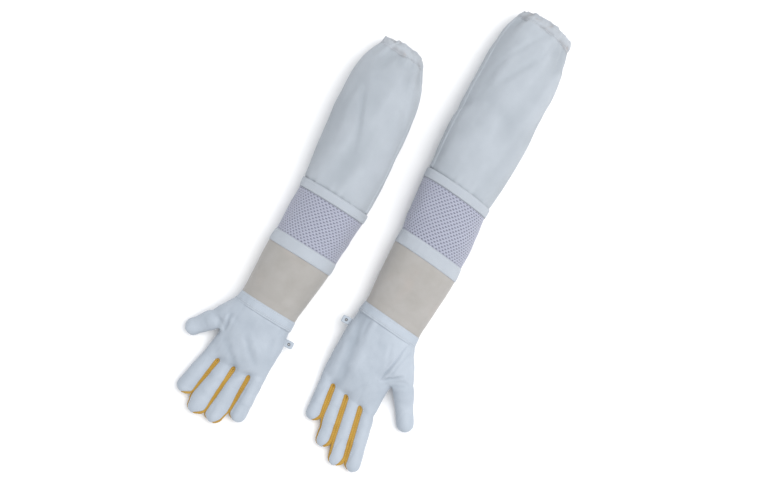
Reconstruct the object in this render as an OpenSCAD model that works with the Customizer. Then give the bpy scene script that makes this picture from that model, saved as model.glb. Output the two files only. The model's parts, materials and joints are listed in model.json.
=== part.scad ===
// A pair of beekeeping gloves lying palm up: leather hands with gusseted fingers, plain gauntlets,
// three-layer ventilation mesh and canvas sleeves with an elastic hem.
//
// Each glove is drawn in a frame of its own: u runs across it towards the thumb, v runs up the arm
// from the middle of the wrist line, and z is the height above the table. The right glove is the
// mirror image. Every tube of the gloves is a run of sections that goes from the arm to the finger
// tips. A section is [u, v, turn, width, height, lift]: its centre, how far it is turned about z, its
// size, and how far it is lifted. Angle 0 on a section is the thumb side and angle 90 is the top.

/* [Sleeve] */
// Widest width of the sleeve as it lies
sleeve_w = 118; // [110:1:124]
// Height of the sleeve as it lies
sleeve_h = 74; // [66:1:80]
// Thickness of the canvas
canvas_t = 1.2; // [1:0.1:1.6]
// Length of the hem that holds the elastic
casing_l = 14; // [10:1:18]
// Thickness of the elastic
elastic_t = 1.4; // [1:0.1:2]
// Width of the felled seam along the sleeve, in degrees round it
seam_angle = 14; // [8:1:20]

/* [Cuff] */
// Width of the gauntlet at its arm end
cuff_w = 102; // [98:1:106]
// Height of the gauntlet at its arm end
cuff_h = 64; // [58:1:70]
// Width of the glove at the wrist line
wrist_w = 88; // [84:1:92]
// Height of the glove at the wrist line
wrist_h = 54; // [50:1:60]
// Thickness of the gauntlet
gauntlet_t = 1.6; // [1.2:0.1:2]
// Thickness of the outer and inner mesh
mesh_t = 0.9; // [0.8:0.1:1.2]
// Thickness of the spacer knit between them
spacer_t = 1.4; // [1:0.1:2]
// Thickness of the folded bands on both sides of the mesh
band_t = 2.4; // [1.8:0.1:3]
// Length of the band above the mesh
upper_band_l = 14; // [10:1:18]

/* [Hand] */
// Thickness of the hand leather
leather_t = 1.4; // [1.2:0.1:1.8]
// Length of the stitched hem at the wrist
hem_l = 16; // [12:1:18]
// Width of the hand across the knuckles
knuckle_w = 98; // [97:1:100]
// Height of the hand at the knuckles
knuckle_h = 22; // [20:1:24]
// Height of a finger
finger_h = 20; // [18:1:22]
// Width of the thumb near its tip
thumb_w = 26; // [24:1:28]
// Half the height of the yellow finger gussets, in degrees round the finger
gusset_angle = 28; // [22:1:32]

/* [Fit] */
// Clearance between pieces that move against each other
move_gap = 0.4; // [0.3:0.05:0.6]
// Clearance between layers of one tube
layer_gap = 0.1; // [0.05:0.05:0.2]
// Gap on the palm side that lets a finger bend
bend_gap = 10; // [9:0.5:12]

/* [Hidden] */

RIGHT = 0;
LEFT = 1;
INDEX = 0;
MIDDLE = 1;
RING = 2;
LITTLE = 3;

// Sides of a whole tube and of a strip of leather
tube_sides = 24;
strip_sides = 12;
gusset_sides = 3;

// Where the middle of each wrist line lies on the table, and how far the seams across are turned
wrist_xy = [[-83.9, -179.9], [82.1, -116.9]];
seam_turn = [5, -8];

// The lengths that differ, because one sleeve lies bunched and the other pulled out
gauntlet_l = [82, 95];
lower_band_l = [19, 21];
mesh_l = [68, 80];
sleeve_l = [236, 267];
// The elastic draws one sleeve end in more than the other
hem_end_w = [64, 82];
hem_end_h = [42, 54];

// Runs of the cuff, from the wrist line upwards
band_v = [for (g = [RIGHT, LEFT]) gauntlet_l[g]];
mesh_v = [for (g = [RIGHT, LEFT]) band_v[g] + lower_band_l[g]];
upper_v = [for (g = [RIGHT, LEFT]) mesh_v[g] + mesh_l[g] + move_gap];
canvas_v = [for (g = [RIGHT, LEFT]) upper_v[g] + upper_band_l];
end_v = [for (g = [RIGHT, LEFT]) canvas_v[g] + sleeve_l[g]];
casing_v = [for (g = [RIGHT, LEFT]) end_v[g] - casing_l];

// The arm of each glove from the open end to the wrist: [v, centre u, width, height]
arm = [
    [
        [end_v[RIGHT], -4, hem_end_w[RIGHT], hem_end_h[RIGHT]],
        [casing_v[RIGHT], -5, hem_end_w[RIGHT] + 10, hem_end_h[RIGHT] + 8],
        [casing_v[RIGHT] - 20, -7, 0.82 * sleeve_w, 0.84 * sleeve_h],
        [casing_v[RIGHT] - 52, -8, 0.94 * sleeve_w, 0.95 * sleeve_h],
        [casing_v[RIGHT] - 104, -9, sleeve_w, sleeve_h],
        [canvas_v[RIGHT] + 45, -12, 0.98 * sleeve_w, 0.96 * sleeve_h],
        [canvas_v[RIGHT], -14, cuff_w + 6, cuff_h + 2],
        [mesh_v[RIGHT] + mesh_l[RIGHT], -14, cuff_w + 3, cuff_h],
        [mesh_v[RIGHT] + mesh_l[RIGHT] / 2, -12, cuff_w + 1, cuff_h - 1],
        [mesh_v[RIGHT], -9, cuff_w - 3, cuff_h - 2],
        [band_v[RIGHT], -7, cuff_w, cuff_h - 1],
        [0, 0, wrist_w, wrist_h],
        [-hem_l, 2, wrist_w + 5, wrist_h - 2]
    ],
    [
        [end_v[LEFT], 8, hem_end_w[LEFT], hem_end_h[LEFT]],
        [casing_v[LEFT], 7, hem_end_w[LEFT] + 14, hem_end_h[LEFT] + 9],
        [casing_v[LEFT] - 24, 6, 0.94 * sleeve_w, 0.94 * sleeve_h],
        [casing_v[LEFT] - 66, 6, 0.99 * sleeve_w, sleeve_h],
        [canvas_v[LEFT] + 120, 5, sleeve_w, sleeve_h],
        [canvas_v[LEFT] + 45, 2.5, 0.97 * sleeve_w, 0.96 * sleeve_h],
        [canvas_v[LEFT], 0, cuff_w + 5, cuff_h + 2],
        [mesh_v[LEFT] + mesh_l[LEFT], -0.5, cuff_w + 4, cuff_h],
        [mesh_v[LEFT] + 22, 3, cuff_w + 6, cuff_h],
        [mesh_v[LEFT], 5, cuff_w - 2, cuff_h - 3],
        [band_v[LEFT], 4, cuff_w + 4, cuff_h],
        [0, 0.5, wrist_w + 4, wrist_h],
        [-hem_l, -1, wrist_w + 8, wrist_h]
    ]
];

// The hand of each glove from the hem to the knuckles: [v, little side u, thumb side u, height,
// turn, half angle of the mouth that leads into the thumb]
hand = [
    [
        [-hem_l - move_gap, -43.5, 49, wrist_h - 2, seam_turn[RIGHT], 0],
        [-40, -45, 73.5, 44, 0, 14],
        [-51, -45, 61, 41, 0, 24],
        [-62, -44.5, 48.5, 38, 0, 12],
        [-82, -43, 51, 31, 0, 0]
    ],
    [
        [-hem_l - move_gap, -48.5, 47.5, wrist_h, seam_turn[LEFT], 0],
        [-45, -53.5, 61, 50, -4, 0],
        [-71, -54.5, 74, 44, 0, 14],
        [-79, -54.5, 59, 42, 0, 24],
        [-87, -54.5, 43, 40, 0, 12],
        [-104, -55.5, 41, 33, -4, 0]
    ]
];
// The knuckle line: its middle and its turn
knuckle_uv = [[6, -101], [-7, -126]];
knuckle_turn = [2, -12];

// The fingers from the index to the little finger
finger_w = [24, 25, 24, 22];
finger_l = [[68, 86, 85, 67], [90, 97, 86, 63]];
finger_heading = [[14.5, 9, 5, 0], [11.5, 9.5, 8, 4]];
finger_side_gap = 0.6;
// How much wider a finger is halfway than at its root
finger_growth = [1.2, 0.9];

// The thumb: where it leaves the hand, the turn of that seam, its heading and its size
thumb_uv = [[61, -51], [58.5, -79]];
thumb_turn = [43, 28];
thumb_heading = [43, 30];
thumb_l = [45, 65];
thumb_base_w = [33, 34.5];
thumb_base_h = 26;

// Where the sections of a digit's round tip lie, in its own widths from the tip
tip_steps = [0.5, 0.28, 0.12, 0.03, 0];
// How much of a gusset's height there is at each section: low at the root, where the finger bends, and
// pointed at the tip or carried round it
gusset_pointed = [0.5, 1, 1, 1, 0.85, 0.6, 0.3, 0.1];
gusset_carried = [0.5, 1, 1, 1, 1.15, 1.45, 2, 2.6];

// Side tab on the little-finger side of the hand
tab_v = [-36, -30];
tab_l = 12;
tab_w = 9;
tab_r = 4;
tab_t = 2.4;
tab_eye_r = 1.75;

leather = "#dfe6ee";
canvas = "#e8ebf0";
yellow = "#e2a31d";

function column(table, k) = [for (row = table) [row[0], row[k]]];

// The section of an arm at any v
function arm_at(g, v) = [
    lookup(v, column(arm[g], 1)), v, seam_turn[g],
    lookup(v, column(arm[g], 2)), lookup(v, column(arm[g], 3)), 0
];

// The sections of an arm from one v down to another
function arm_run(g, from, to) = [
    for (v = concat([from], [for (row = arm[g]) if (row[0] < from - 1 && row[0] > to + 1) row[0]], [to]))
        arm_at(g, v)
];

// The sections of a hand, ending at the knuckle line
function hand_run(g) = concat(
    [for (row = hand[g]) [(row[1] + row[2]) / 2, row[0], row[4], row[2] - row[1], row[3], 0]],
    [[knuckle_uv[g][0], knuckle_uv[g][1], knuckle_turn[g], knuckle_w, knuckle_h, 0]]
);
function mouth(g) = concat([for (row = hand[g]) row[5]], [0]);

// How wide a digit's round tip is, where x is the distance from the tip in widths
function dome(x) = x >= 0.5 ? 1 : max(0.2, sqrt(1 - pow(1 - 2 * x, 2)));

// The sections of a digit from its root to its tip
function digit_run(root, turn, heading, length, w0, w1, h0, h1) = [
    for (s = concat([move_gap, bend_gap, length / 2], [for (q = tip_steps) length - q * w1]))
        let (along = min(1, 2 * s / length),
             narrow = dome((length - s) / w1),
             full_h = h0 + (h1 - h0) * along,
             h = full_h * (0.4 + 0.6 * narrow))
        [
            root[0] + s * sin(heading), root[1] - s * cos(heading), s == move_gap ? turn : heading,
            (w0 + (w1 - w0) * along) * narrow, h, 0.45 * (full_h - h)
        ]
];

// Where a finger leaves the knuckle line, measured from the line's middle towards the thumb
function finger_offset(j) = j == INDEX
    ? (finger_w[MIDDLE] + finger_w[RING] + finger_w[LITTLE] + 3 * finger_side_gap) / 2
    : finger_offset(j - 1) - (finger_w[j - 1] + finger_w[j]) / 2 - finger_side_gap;

function finger_root(g, j) = [
    knuckle_uv[g][0] + finger_offset(j) * cos(knuckle_turn[g]),
    knuckle_uv[g][1] + finger_offset(j) * sin(knuckle_turn[g])
];
// A finger that leaves the knuckle line askew is narrower than its share of the line
function finger_run(g, j) =
    let (w = finger_w[j] * cos(finger_heading[g][j] - knuckle_turn[g]))
    digit_run(
        finger_root(g, j), knuckle_turn[g], finger_heading[g][j], finger_l[g][j],
        w, w + finger_growth[g], finger_h, finger_h
    );
function thumb_run(g) = digit_run(
    thumb_uv[g], thumb_turn[g], thumb_heading[g], thumb_l[g],
    thumb_base_w[g], thumb_w, thumb_base_h, finger_h + 2
);
function gusset(j) = [
    for (part = (j == INDEX || j == LITTLE) ? gusset_pointed : gusset_carried) part * gusset_angle
];
function all_but_first(list) = [for (i = [1:len(list) - 1]) list[i]];

// The point of a section at an angle and at a depth under its skin: an oval, flat where it rests
function skin(s, angle, depth) =
    let (across = (s[3] / 2 - depth) * cos(angle),
         half_h = (sin(angle) > 0 ? 0.55 : 0.5) * s[4] - depth)
    [
        s[0] + across * cos(s[2]),
        s[1] + across * sin(s[2]),
        s[5] + max(depth, 0.45 * s[4] + half_h * sin(angle))
    ];
function hoop(s, depth) = [for (i = [0:tube_sides - 1]) skin(s, 360 * i / tube_sides, depth)];
function arc(s, lo, hi, depth, sides) = [for (i = [0:sides]) skin(s, lo + (hi - lo) * i / sides, depth)];

// A solid from a closed chain of rings. An open chain's two long edges are closed by flat strips.
module wrap(rings, closed) {
    n = len(rings[0]);
    m = len(rings);
    skins = [
        for (k = [0:m - 1], i = [0:(closed ? n - 1 : n - 2)])
            let (here = k * n, next = ((k + 1) % m) * n, i2 = (i + 1) % n)
            each [[here + i, next + i2, here + i2], [here + i, next + i, next + i2]]
    ];
    edges = closed ? [] : [
        for (k = [0:m / 2 - 2])
            let (o1 = k * n, o2 = o1 + n, i1 = (m - 1 - k) * n, i2 = i1 - n, far = n - 1)
            each [
                [o1, i2, o2], [o1, i1, i2],
                [o2 + far, i2 + far, o1 + far], [o1 + far, i2 + far, i1 + far]
            ]
    ];
    polyhedron([for (ring = rings) each ring], concat(edges, skins));
}

// A whole tube between two depths under the skin
module tube(run, outer, inner) {
    last = len(run) - 1;
    wrap(concat([for (s = run) hoop(s, outer)], [for (k = [0:last]) hoop(run[last - k], inner)]), true);
}

// A strip of a tube from the angles lo to the angles hi, one pair for each section
module strip(run, lo, hi, outer, inner, sides) {
    last = len(run) - 1;
    wrap(concat(
        [for (k = [0:last]) arc(run[k], lo[k], hi[k], outer, sides)],
        [for (k = [0:last]) arc(run[last - k], lo[last - k], hi[last - k], inner, sides)]
    ), false);
}

// Puts a glove on the table; the right one is the mirror image
module lay(g) {
    translate([wrist_xy[g][0], wrist_xy[g][1], 0]) mirror([g == RIGHT ? 1 : 0, 0, 0]) children();
}

module sleeve(g) {
    color(canvas) lay(g) tube(arm_run(g, casing_v[g], canvas_v[g]), 0, canvas_t);
}

// The felled seam, a flat double strip that lies on the sleeve
module sleeve_seam(g) {
    run = arm_run(g, casing_v[g], canvas_v[g]);
    middle = 165;
    lo = [for (s = run) middle - seam_angle / 2];
    hi = [for (s = run) middle + seam_angle / 2];
    color(canvas) lay(g) strip(run, lo, hi, -canvas_t - layer_gap, -layer_gap, gusset_sides);
}

// The hem is folded in and back to a channel, open towards the sleeve, where its stitches run
module cuff_casing(g) {
    mouth_end = arm_at(g, end_v[g]);
    fold = arm_at(g, end_v[g] - canvas_t);
    root = arm_at(g, casing_v[g]);
    inner = canvas_t + elastic_t + 4 * layer_gap;
    color(canvas) lay(g) wrap([
        hoop(mouth_end, 0), hoop(root, 0), hoop(root, canvas_t), hoop(fold, canvas_t),
        hoop(fold, inner), hoop(root, inner), hoop(root, inner + canvas_t), hoop(mouth_end, inner + canvas_t)
    ], true);
}

module cuff_elastic(g) {
    outer = canvas_t + 2 * layer_gap;
    run = [arm_at(g, end_v[g] - canvas_t - 0.5), arm_at(g, casing_v[g] + 0.5)];
    color("#d9c3b6") lay(g) tube(run, outer, outer + elastic_t);
}

module upper_band(g) {
    color(canvas) lay(g) tube(arm_run(g, canvas_v[g], upper_v[g]), 0, band_t);
}

module mesh_layer(g, outer, inner) {
    lay(g) tube(arm_run(g, mesh_v[g] + mesh_l[g], mesh_v[g]), outer, inner);
}
module mesh_outer(g) {
    color("#b4b9dc") mesh_layer(g, 0, mesh_t);
}
module mesh_spacer(g) {
    color("#c6c9e2") mesh_layer(g, mesh_t + layer_gap, mesh_t + layer_gap + spacer_t);
}
module mesh_lining(g) {
    outer = mesh_t + spacer_t + 2 * layer_gap;
    color("#d4d6ea") mesh_layer(g, outer, outer + mesh_t);
}

module lower_band(g) {
    color(canvas) lay(g) tube(arm_run(g, mesh_v[g], band_v[g]), 0, band_t);
}

module gauntlet(g) {
    color("#bdb5aa") lay(g) tube(arm_run(g, band_v[g], 0), 0, gauntlet_t);
}

module wrist_hem(g) {
    color(leather) lay(g) tube(arm_run(g, 0, -hem_l), 0, 2 * leather_t);
}

module palm_panel(g) {
    lo = mouth(g);
    hi = [for (angle = mouth(g)) 180];
    color(leather) lay(g) strip(hand_run(g), lo, hi, 0, leather_t, strip_sides);
}

module back_panel(g) {
    lo = [for (angle = mouth(g)) 180];
    hi = [for (angle = mouth(g)) 360 - angle];
    color(leather) lay(g) strip(hand_run(g), lo, hi, 0, leather_t, strip_sides);
}

// A folded tab sewn into the side seam, with an eye to hang the glove by. It starts outside the
// widest part of the seam beside it.
module side_tab(g) {
    side = lookup(tab_v[g] - tab_l, column(hand[g], 1));
    height = 0.45 * lookup(tab_v[g], column(hand[g], 3));
    straight = tab_w - tab_r;
    color(leather) lay(g) translate([side - move_gap, tab_v[g], height - tab_t / 2]) difference() {
        linear_extrude(tab_t) {
            translate([-straight, -tab_l / 2]) square([straight, tab_l]);
            translate([-tab_w, tab_r - tab_l / 2]) square([tab_r, tab_l - 2 * tab_r]);
            for (end = [-1, 1]) translate([-straight, end * (tab_l / 2 - tab_r)]) circle(r = tab_r, $fn = 48);
        }
        translate([-straight, 0, -1]) cylinder(r = tab_eye_r, h = tab_t + 2, $fn = 48);
    }
}

module thumb_front(g) {
    run = all_but_first(thumb_run(g));
    color(leather) lay(g) strip(run, [for (s = run) 0], [for (s = run) 180], 0, leather_t, strip_sides);
}

module thumb_back(g) {
    run = thumb_run(g);
    color(leather) lay(g) strip(run, [for (s = run) 180], [for (s = run) 360], 0, leather_t, strip_sides);
}

module finger_front(g, j) {
    part = all_but_first(gusset(j));
    lo = [for (angle = part) j == INDEX ? 0 : angle];
    hi = [for (angle = part) j == LITTLE ? 180 : 180 - angle];
    color(leather) lay(g) strip(all_but_first(finger_run(g, j)), lo, hi, 0, leather_t, strip_sides);
}

module finger_back(g, j) {
    part = gusset(j);
    lo = [for (angle = part) j == LITTLE ? 180 : 180 + angle];
    hi = [for (angle = part) j == INDEX ? 360 : 360 - angle];
    color(leather) lay(g) strip(finger_run(g, j), lo, hi, 0, leather_t, strip_sides);
}

// The yellow gussets between a finger and its neighbours
module finger_fourchette(g, j) {
    run = finger_run(g, j);
    part = gusset(j);
    sides = [if (j > INDEX) 0, if (j < LITTLE) 180];
    color(yellow) lay(g) for (side = sides) {
        lo = [for (angle = part) side - angle];
        hi = [for (angle = part) side + angle];
        strip(run, lo, hi, 0, leather_t, gusset_sides);
    }
}

sleeve(RIGHT);  // right_sleeve
sleeve_seam(RIGHT);  // right_sleeve_seam
cuff_casing(RIGHT);  // right_cuff_casing
cuff_elastic(RIGHT);  // right_cuff_elastic
upper_band(RIGHT);  // right_upper_band
mesh_outer(RIGHT);  // right_mesh_outer
mesh_spacer(RIGHT);  // right_mesh_spacer
mesh_lining(RIGHT);  // right_mesh_lining
lower_band(RIGHT);  // right_lower_band
gauntlet(RIGHT);  // right_gauntlet
wrist_hem(RIGHT);  // right_wrist_hem
palm_panel(RIGHT);  // right_palm_panel
back_panel(RIGHT);  // right_back_panel
side_tab(RIGHT);  // right_side_tab
thumb_front(RIGHT);  // right_thumb_front
thumb_back(RIGHT);  // right_thumb_back
finger_front(RIGHT, INDEX);  // right_index_front
finger_back(RIGHT, INDEX);  // right_index_back
finger_fourchette(RIGHT, INDEX);  // right_index_fourchette
finger_front(RIGHT, MIDDLE);  // right_middle_front
finger_back(RIGHT, MIDDLE);  // right_middle_back
finger_fourchette(RIGHT, MIDDLE);  // right_middle_fourchette
finger_front(RIGHT, RING);  // right_ring_front
finger_back(RIGHT, RING);  // right_ring_back
finger_fourchette(RIGHT, RING);  // right_ring_fourchette
finger_front(RIGHT, LITTLE);  // right_little_front
finger_back(RIGHT, LITTLE);  // right_little_back
finger_fourchette(RIGHT, LITTLE);  // right_little_fourchette
sleeve(LEFT);  // left_sleeve
sleeve_seam(LEFT);  // left_sleeve_seam
cuff_casing(LEFT);  // left_cuff_casing
cuff_elastic(LEFT);  // left_cuff_elastic
upper_band(LEFT);  // left_upper_band
mesh_outer(LEFT);  // left_mesh_outer
mesh_spacer(LEFT);  // left_mesh_spacer
mesh_lining(LEFT);  // left_mesh_lining
lower_band(LEFT);  // left_lower_band
gauntlet(LEFT);  // left_gauntlet
wrist_hem(LEFT);  // left_wrist_hem
palm_panel(LEFT);  // left_palm_panel
back_panel(LEFT);  // left_back_panel
side_tab(LEFT);  // left_side_tab
thumb_front(LEFT);  // left_thumb_front
thumb_back(LEFT);  // left_thumb_back
finger_front(LEFT, INDEX);  // left_index_front
finger_back(LEFT, INDEX);  // left_index_back
finger_fourchette(LEFT, INDEX);  // left_index_fourchette
finger_front(LEFT, MIDDLE);  // left_middle_front
finger_back(LEFT, MIDDLE);  // left_middle_back
finger_fourchette(LEFT, MIDDLE);  // left_middle_fourchette
finger_front(LEFT, RING);  // left_ring_front
finger_back(LEFT, RING);  // left_ring_back
finger_fourchette(LEFT, RING);  // left_ring_fourchette
finger_front(LEFT, LITTLE);  // left_little_front
finger_back(LEFT, LITTLE);  // left_little_back
finger_fourchette(LEFT, LITTLE);  // left_little_fourchette
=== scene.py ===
"""The looks of a pair of beekeeping gloves that lie palm up: leather hands with yellow finger gussets,
suede gauntlets, a three-layer vent mesh between two folded bands, and canvas sleeves with an elastic hem.

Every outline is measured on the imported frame. An arm is a tube of sections along one straight line; a
hand is one quad cage with its fingers and thumb growing out of it, subdivided and then cut into its
leather panels. On a section, angle 0 is the thumb side and angle 90 is the top."""
import json
import math

import bpy
import numpy as np
from mathutils import Matrix, Vector
from mathutils.bvhtree import BVHTree


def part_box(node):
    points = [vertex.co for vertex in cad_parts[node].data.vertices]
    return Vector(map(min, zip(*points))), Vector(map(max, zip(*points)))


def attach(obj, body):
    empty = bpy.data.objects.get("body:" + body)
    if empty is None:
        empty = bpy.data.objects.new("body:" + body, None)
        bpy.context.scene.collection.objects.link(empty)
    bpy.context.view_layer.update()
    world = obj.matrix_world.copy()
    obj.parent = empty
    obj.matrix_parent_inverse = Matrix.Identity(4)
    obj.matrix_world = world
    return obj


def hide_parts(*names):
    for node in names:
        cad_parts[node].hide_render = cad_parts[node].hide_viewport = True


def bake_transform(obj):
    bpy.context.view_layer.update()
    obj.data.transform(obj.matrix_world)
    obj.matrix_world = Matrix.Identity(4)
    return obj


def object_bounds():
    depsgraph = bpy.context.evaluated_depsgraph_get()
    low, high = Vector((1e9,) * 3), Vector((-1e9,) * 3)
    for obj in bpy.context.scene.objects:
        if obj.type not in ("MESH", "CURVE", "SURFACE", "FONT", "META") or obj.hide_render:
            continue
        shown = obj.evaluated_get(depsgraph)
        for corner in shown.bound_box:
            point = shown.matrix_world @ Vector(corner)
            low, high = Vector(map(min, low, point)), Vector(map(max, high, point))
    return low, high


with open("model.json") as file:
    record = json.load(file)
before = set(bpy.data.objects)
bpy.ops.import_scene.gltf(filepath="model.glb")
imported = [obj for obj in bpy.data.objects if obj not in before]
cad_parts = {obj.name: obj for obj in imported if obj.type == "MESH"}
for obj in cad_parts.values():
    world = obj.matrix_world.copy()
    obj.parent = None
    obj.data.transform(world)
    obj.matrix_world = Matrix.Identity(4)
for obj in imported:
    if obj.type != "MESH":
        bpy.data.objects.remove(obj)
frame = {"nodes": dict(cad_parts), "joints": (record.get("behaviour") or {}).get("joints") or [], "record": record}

cad_low, cad_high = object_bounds()
nodes = frame["nodes"]
joints = {joint["name"]: joint for joint in frame["joints"]}

GLOVES = ("right", "left")
FINGERS = ("index", "middle", "ring", "little")
ARM_TUBES = ("wrist_hem", "gauntlet", "lower_band", "mesh_outer", "upper_band", "sleeve", "cuff_casing")
UP = np.array([0.0, 0.0, 1.0])
MM = 0.001

# How thick the cloth and leather are
CANVAS_T = 1.0 * MM
BAND_T = 2.2 * MM
SUEDE_T = 1.5 * MM
LEATHER_T = 1.2 * MM
MESH_T = 0.8 * MM

# How far the cloth stays above the floor
FLOOR_GAP = 0.2 * MM

# How far a band's threads are from its edges
BAND_SEAM = 2.4 * MM

# How far the hem at the wrist stands proud
HEM_PROUD = {"right": -0.4 * MM, "left": 0.2 * MM}

# Quads round a tube
TUBE_COLUMNS = 168

# Threads
STITCH_PITCH = 3.2 * MM
STITCH_LENGTH = 2.5 * MM
STITCH_R = 0.32 * MM


# ---------------------------------------------------------------- reading the frame

_edges = {}


def edges_of(name):
    """The points and the edges of a CAD node."""
    if name not in _edges:
        mesh = nodes[name].data
        points = np.array([v.co for v in mesh.vertices])
        pairs = np.array([e.vertices[:] for e in mesh.edges])
        _edges[name] = (points, pairs)
    return _edges[name]


def cut(names, point, normal):
    """The points where a plane crosses the edges of some CAD nodes."""
    found = []
    for name in names:
        points, pairs = edges_of(name)
        height = (points - point) @ normal
        a, b = height[pairs[:, 0]], height[pairs[:, 1]]
        crossed = (a < 0) != (b < 0)
        share = (a[crossed] / (a[crossed] - b[crossed]))[:, None]
        start, end = points[pairs[crossed, 0]], points[pairs[crossed, 1]]
        found.append(start + (end - start) * share)
    return np.vstack(found)


def span(names, direction):
    """How far some CAD nodes reach along a direction, lowest and highest."""
    reach = np.concatenate([edges_of(name)[0] @ direction for name in names])
    return reach.min(), reach.max()


def unit(v):
    return v / np.linalg.norm(v)


def smooth(values, sigma):
    """A running mean with a bell weight of sigma samples; the ends keep their slope."""
    reach = int(3 * sigma) + 1
    steps = np.arange(-reach, reach + 1)
    weights = np.exp(-0.5 * (steps / sigma) ** 2)
    padded = np.concatenate([
        2 * values[0] - values[reach:0:-1],
        values,
        2 * values[-1] - values[-2:-reach - 2:-1],
    ])
    return np.convolve(padded, weights / weights.sum(), mode="valid")


def outline_of(names, along, across, places):
    """Little side, thumb side, bottom and top of some nodes where planes across them cut."""
    rows = []
    for place in places:
        points = cut(names, along * place, along)
        sideways = points @ across
        rows.append([sideways.min(), sideways.max(), points[:, 2].min(), points[:, 2].max()])
    return np.array(rows).T


class Glove:
    """Where one glove lies, and the outline of its arm."""

    def __init__(self, side):
        self.side = side
        to_thumb = self.pivot("thumb_flex") - self.pivot(FINGERS[-1] + "_flex")
        axis = np.array(joints[side + "_sleeve_fold"]["axis"])
        self.across = axis * np.sign(axis @ to_thumb)
        self.along = np.cross(UP, self.across)
        self.along = self.along * np.sign(self.along[1])
        low, high = span(self.nodes(*ARM_TUBES), self.along)
        self.s = np.linspace(low + 0.2 * MM, high - 0.2 * MM, 200)
        found = outline_of(self.nodes(*ARM_TUBES), self.along, self.across, self.s)
        self.little_edge, self.thumb_edge, _, self.height = [smooth(row, 4) for row in found]

    def pivot(self, joint):
        """The place of one of this glove's joints."""
        return np.array(joints[f"{self.side}_{joint}"]["pos_m"])

    def nodes(self, *names):
        return [f"{self.side}_{name}" for name in names]

    def span(self, name):
        return span(self.nodes(name), self.along)

    def skin(self, s, angle, out=0.0):
        """Points of the arm's skin at places s along it and angles round it, moved out by out."""
        little, thumb, height = (
            np.interp(s, self.s, edge) for edge in (self.little_edge, self.thumb_edge, self.height)
        )
        sine = np.sin(angle)
        side = (little + thumb) / 2 + ((thumb - little) / 2 + out) * np.cos(angle)
        rise = 0.45 * height + (np.where(sine > 0, 0.55, 0.5) * height + out) * sine
        rise = np.maximum(rise, FLOOR_GAP + np.maximum(-out, 0))
        return s[..., None] * self.along + side[..., None] * self.across + rise[..., None] * UP

    def local(self, points):
        """Across, along and up from points in the frame."""
        return np.stack([points @ self.across, points @ self.along, points[..., 2]], axis=-1)

    def on_arm(self, s, angle, lift=None, out=0.0):
        """The skin pushed along its normal by lift, a function of the glove, s, angle and local points."""
        s, angle = np.broadcast_arrays(s, angle)
        points = self.skin(s, angle, out)
        if lift is None:
            return points
        step = 0.5 * MM
        ds = self.skin(s + step, angle, out) - self.skin(s - step, angle, out)
        da = self.skin(s, angle + 0.02, out) - self.skin(s, angle - 0.02, out)
        normal = np.cross(ds, da)
        normal /= np.linalg.norm(normal, axis=-1, keepdims=True) + 1e-12
        middle = np.interp(s, self.s, (self.little_edge + self.thumb_edge) / 2)
        centre = s[..., None] * self.along + middle[..., None] * self.across
        centre = centre + 0.45 * np.interp(s, self.s, self.height)[..., None] * UP
        normal *= np.sign(((points - centre) * normal).sum(-1))[..., None]
        moved = points + normal * lift(self, s, angle, self.local(points))[..., None]
        moved[..., 2] = np.maximum(moved[..., 2], FLOOR_GAP + np.maximum(-out, 0))
        return moved


# ---------------------------------------------------------------- noise

def lattice(x, y, z, seed):
    """A repeatable number from -1 to 1 for each whole-number point."""
    h = (x * 374761393 + y * 668265263 + z * 1440662683 + seed * 1274126177) & 0xFFFFFFFF
    h = ((h ^ (h >> 13)) * 1274126177) & 0xFFFFFFFF
    return ((h ^ (h >> 16)) & 0xFFFF) / 32767.5 - 1


def noise(points, size, seed):
    """Smooth noise from -1 to 1 with features of size, one number or three."""
    q = points / np.asarray(size, float)
    base = np.floor(q).astype(np.int64)
    f = q - base
    f = f * f * f * (f * (f * 6 - 15) + 10)
    total = np.zeros(q.shape[:-1])
    for corner in np.ndindex(2, 2, 2):
        weight = np.prod(np.where(np.array(corner) == 1, f, 1 - f), axis=-1)
        total += weight * lattice(*(base[..., k] + corner[k] for k in range(3)), seed)
    return total


def ridges(points, size, seed):
    """Noise with sharp valleys, from -1 in a valley to 0."""
    return np.minimum(2.2 * np.abs(noise(points, size, seed)), 1) - 1


def turned(points, degrees):
    """Local points turned about the vertical."""
    c, s = math.cos(math.radians(degrees)), math.sin(math.radians(degrees))
    x, y = points[..., 0], points[..., 1]
    return np.stack([c * x + s * y, c * y - s * x, points[..., 2]], axis=-1)


# ---------------------------------------------------------------- meshes

class Cloth:
    """Points, quads, a texture place for each corner, a material number for each quad, how much painted
    shade each point has in its folds, creases and seams, and its normal where that isn't the mean of its quads."""

    def __init__(self, points, faces, uv, slot=0, tone=0.0):
        self.points = np.asarray(points, float)
        self.faces = np.asarray(faces, int)
        self.uv = np.asarray(uv, float)
        self.slot = np.full(len(self.faces), slot)
        self.smooth = np.ones(len(self.faces), bool)
        self.normals = np.zeros_like(self.points)
        self.flat = None
        self.area = None
        self.tone = np.broadcast_to(np.asarray(tone, float), len(self.points)).copy()

    def joined(self, *others):
        for other in others:
            self.faces = np.vstack([self.faces, other.faces + len(self.points)])
            self.points = np.vstack([self.points, other.points])
            self.normals = np.vstack([self.normals, other.normals])
            self.uv = np.vstack([self.uv, other.uv])
            self.slot = np.concatenate([self.slot, other.slot])
            self.smooth = np.concatenate([self.smooth, other.smooth])
            self.tone = np.concatenate([self.tone, other.tone])
        return self


def grid_faces(rows, columns, closed=True, looped=False):
    """The quads of a grid of points, row by row. Closed joins the last column to the first, and looped
    joins the last row to the first."""
    r, c = np.meshgrid(
        np.arange(rows if looped else rows - 1), np.arange(columns if closed else columns - 1), indexing="ij"
    )
    r, c = r.ravel(), c.ravel()
    below, right = (r + 1) % rows, (c + 1) % columns
    return np.stack([r * columns + c, r * columns + right, below * columns + right, below * columns + c], 1)


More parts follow.
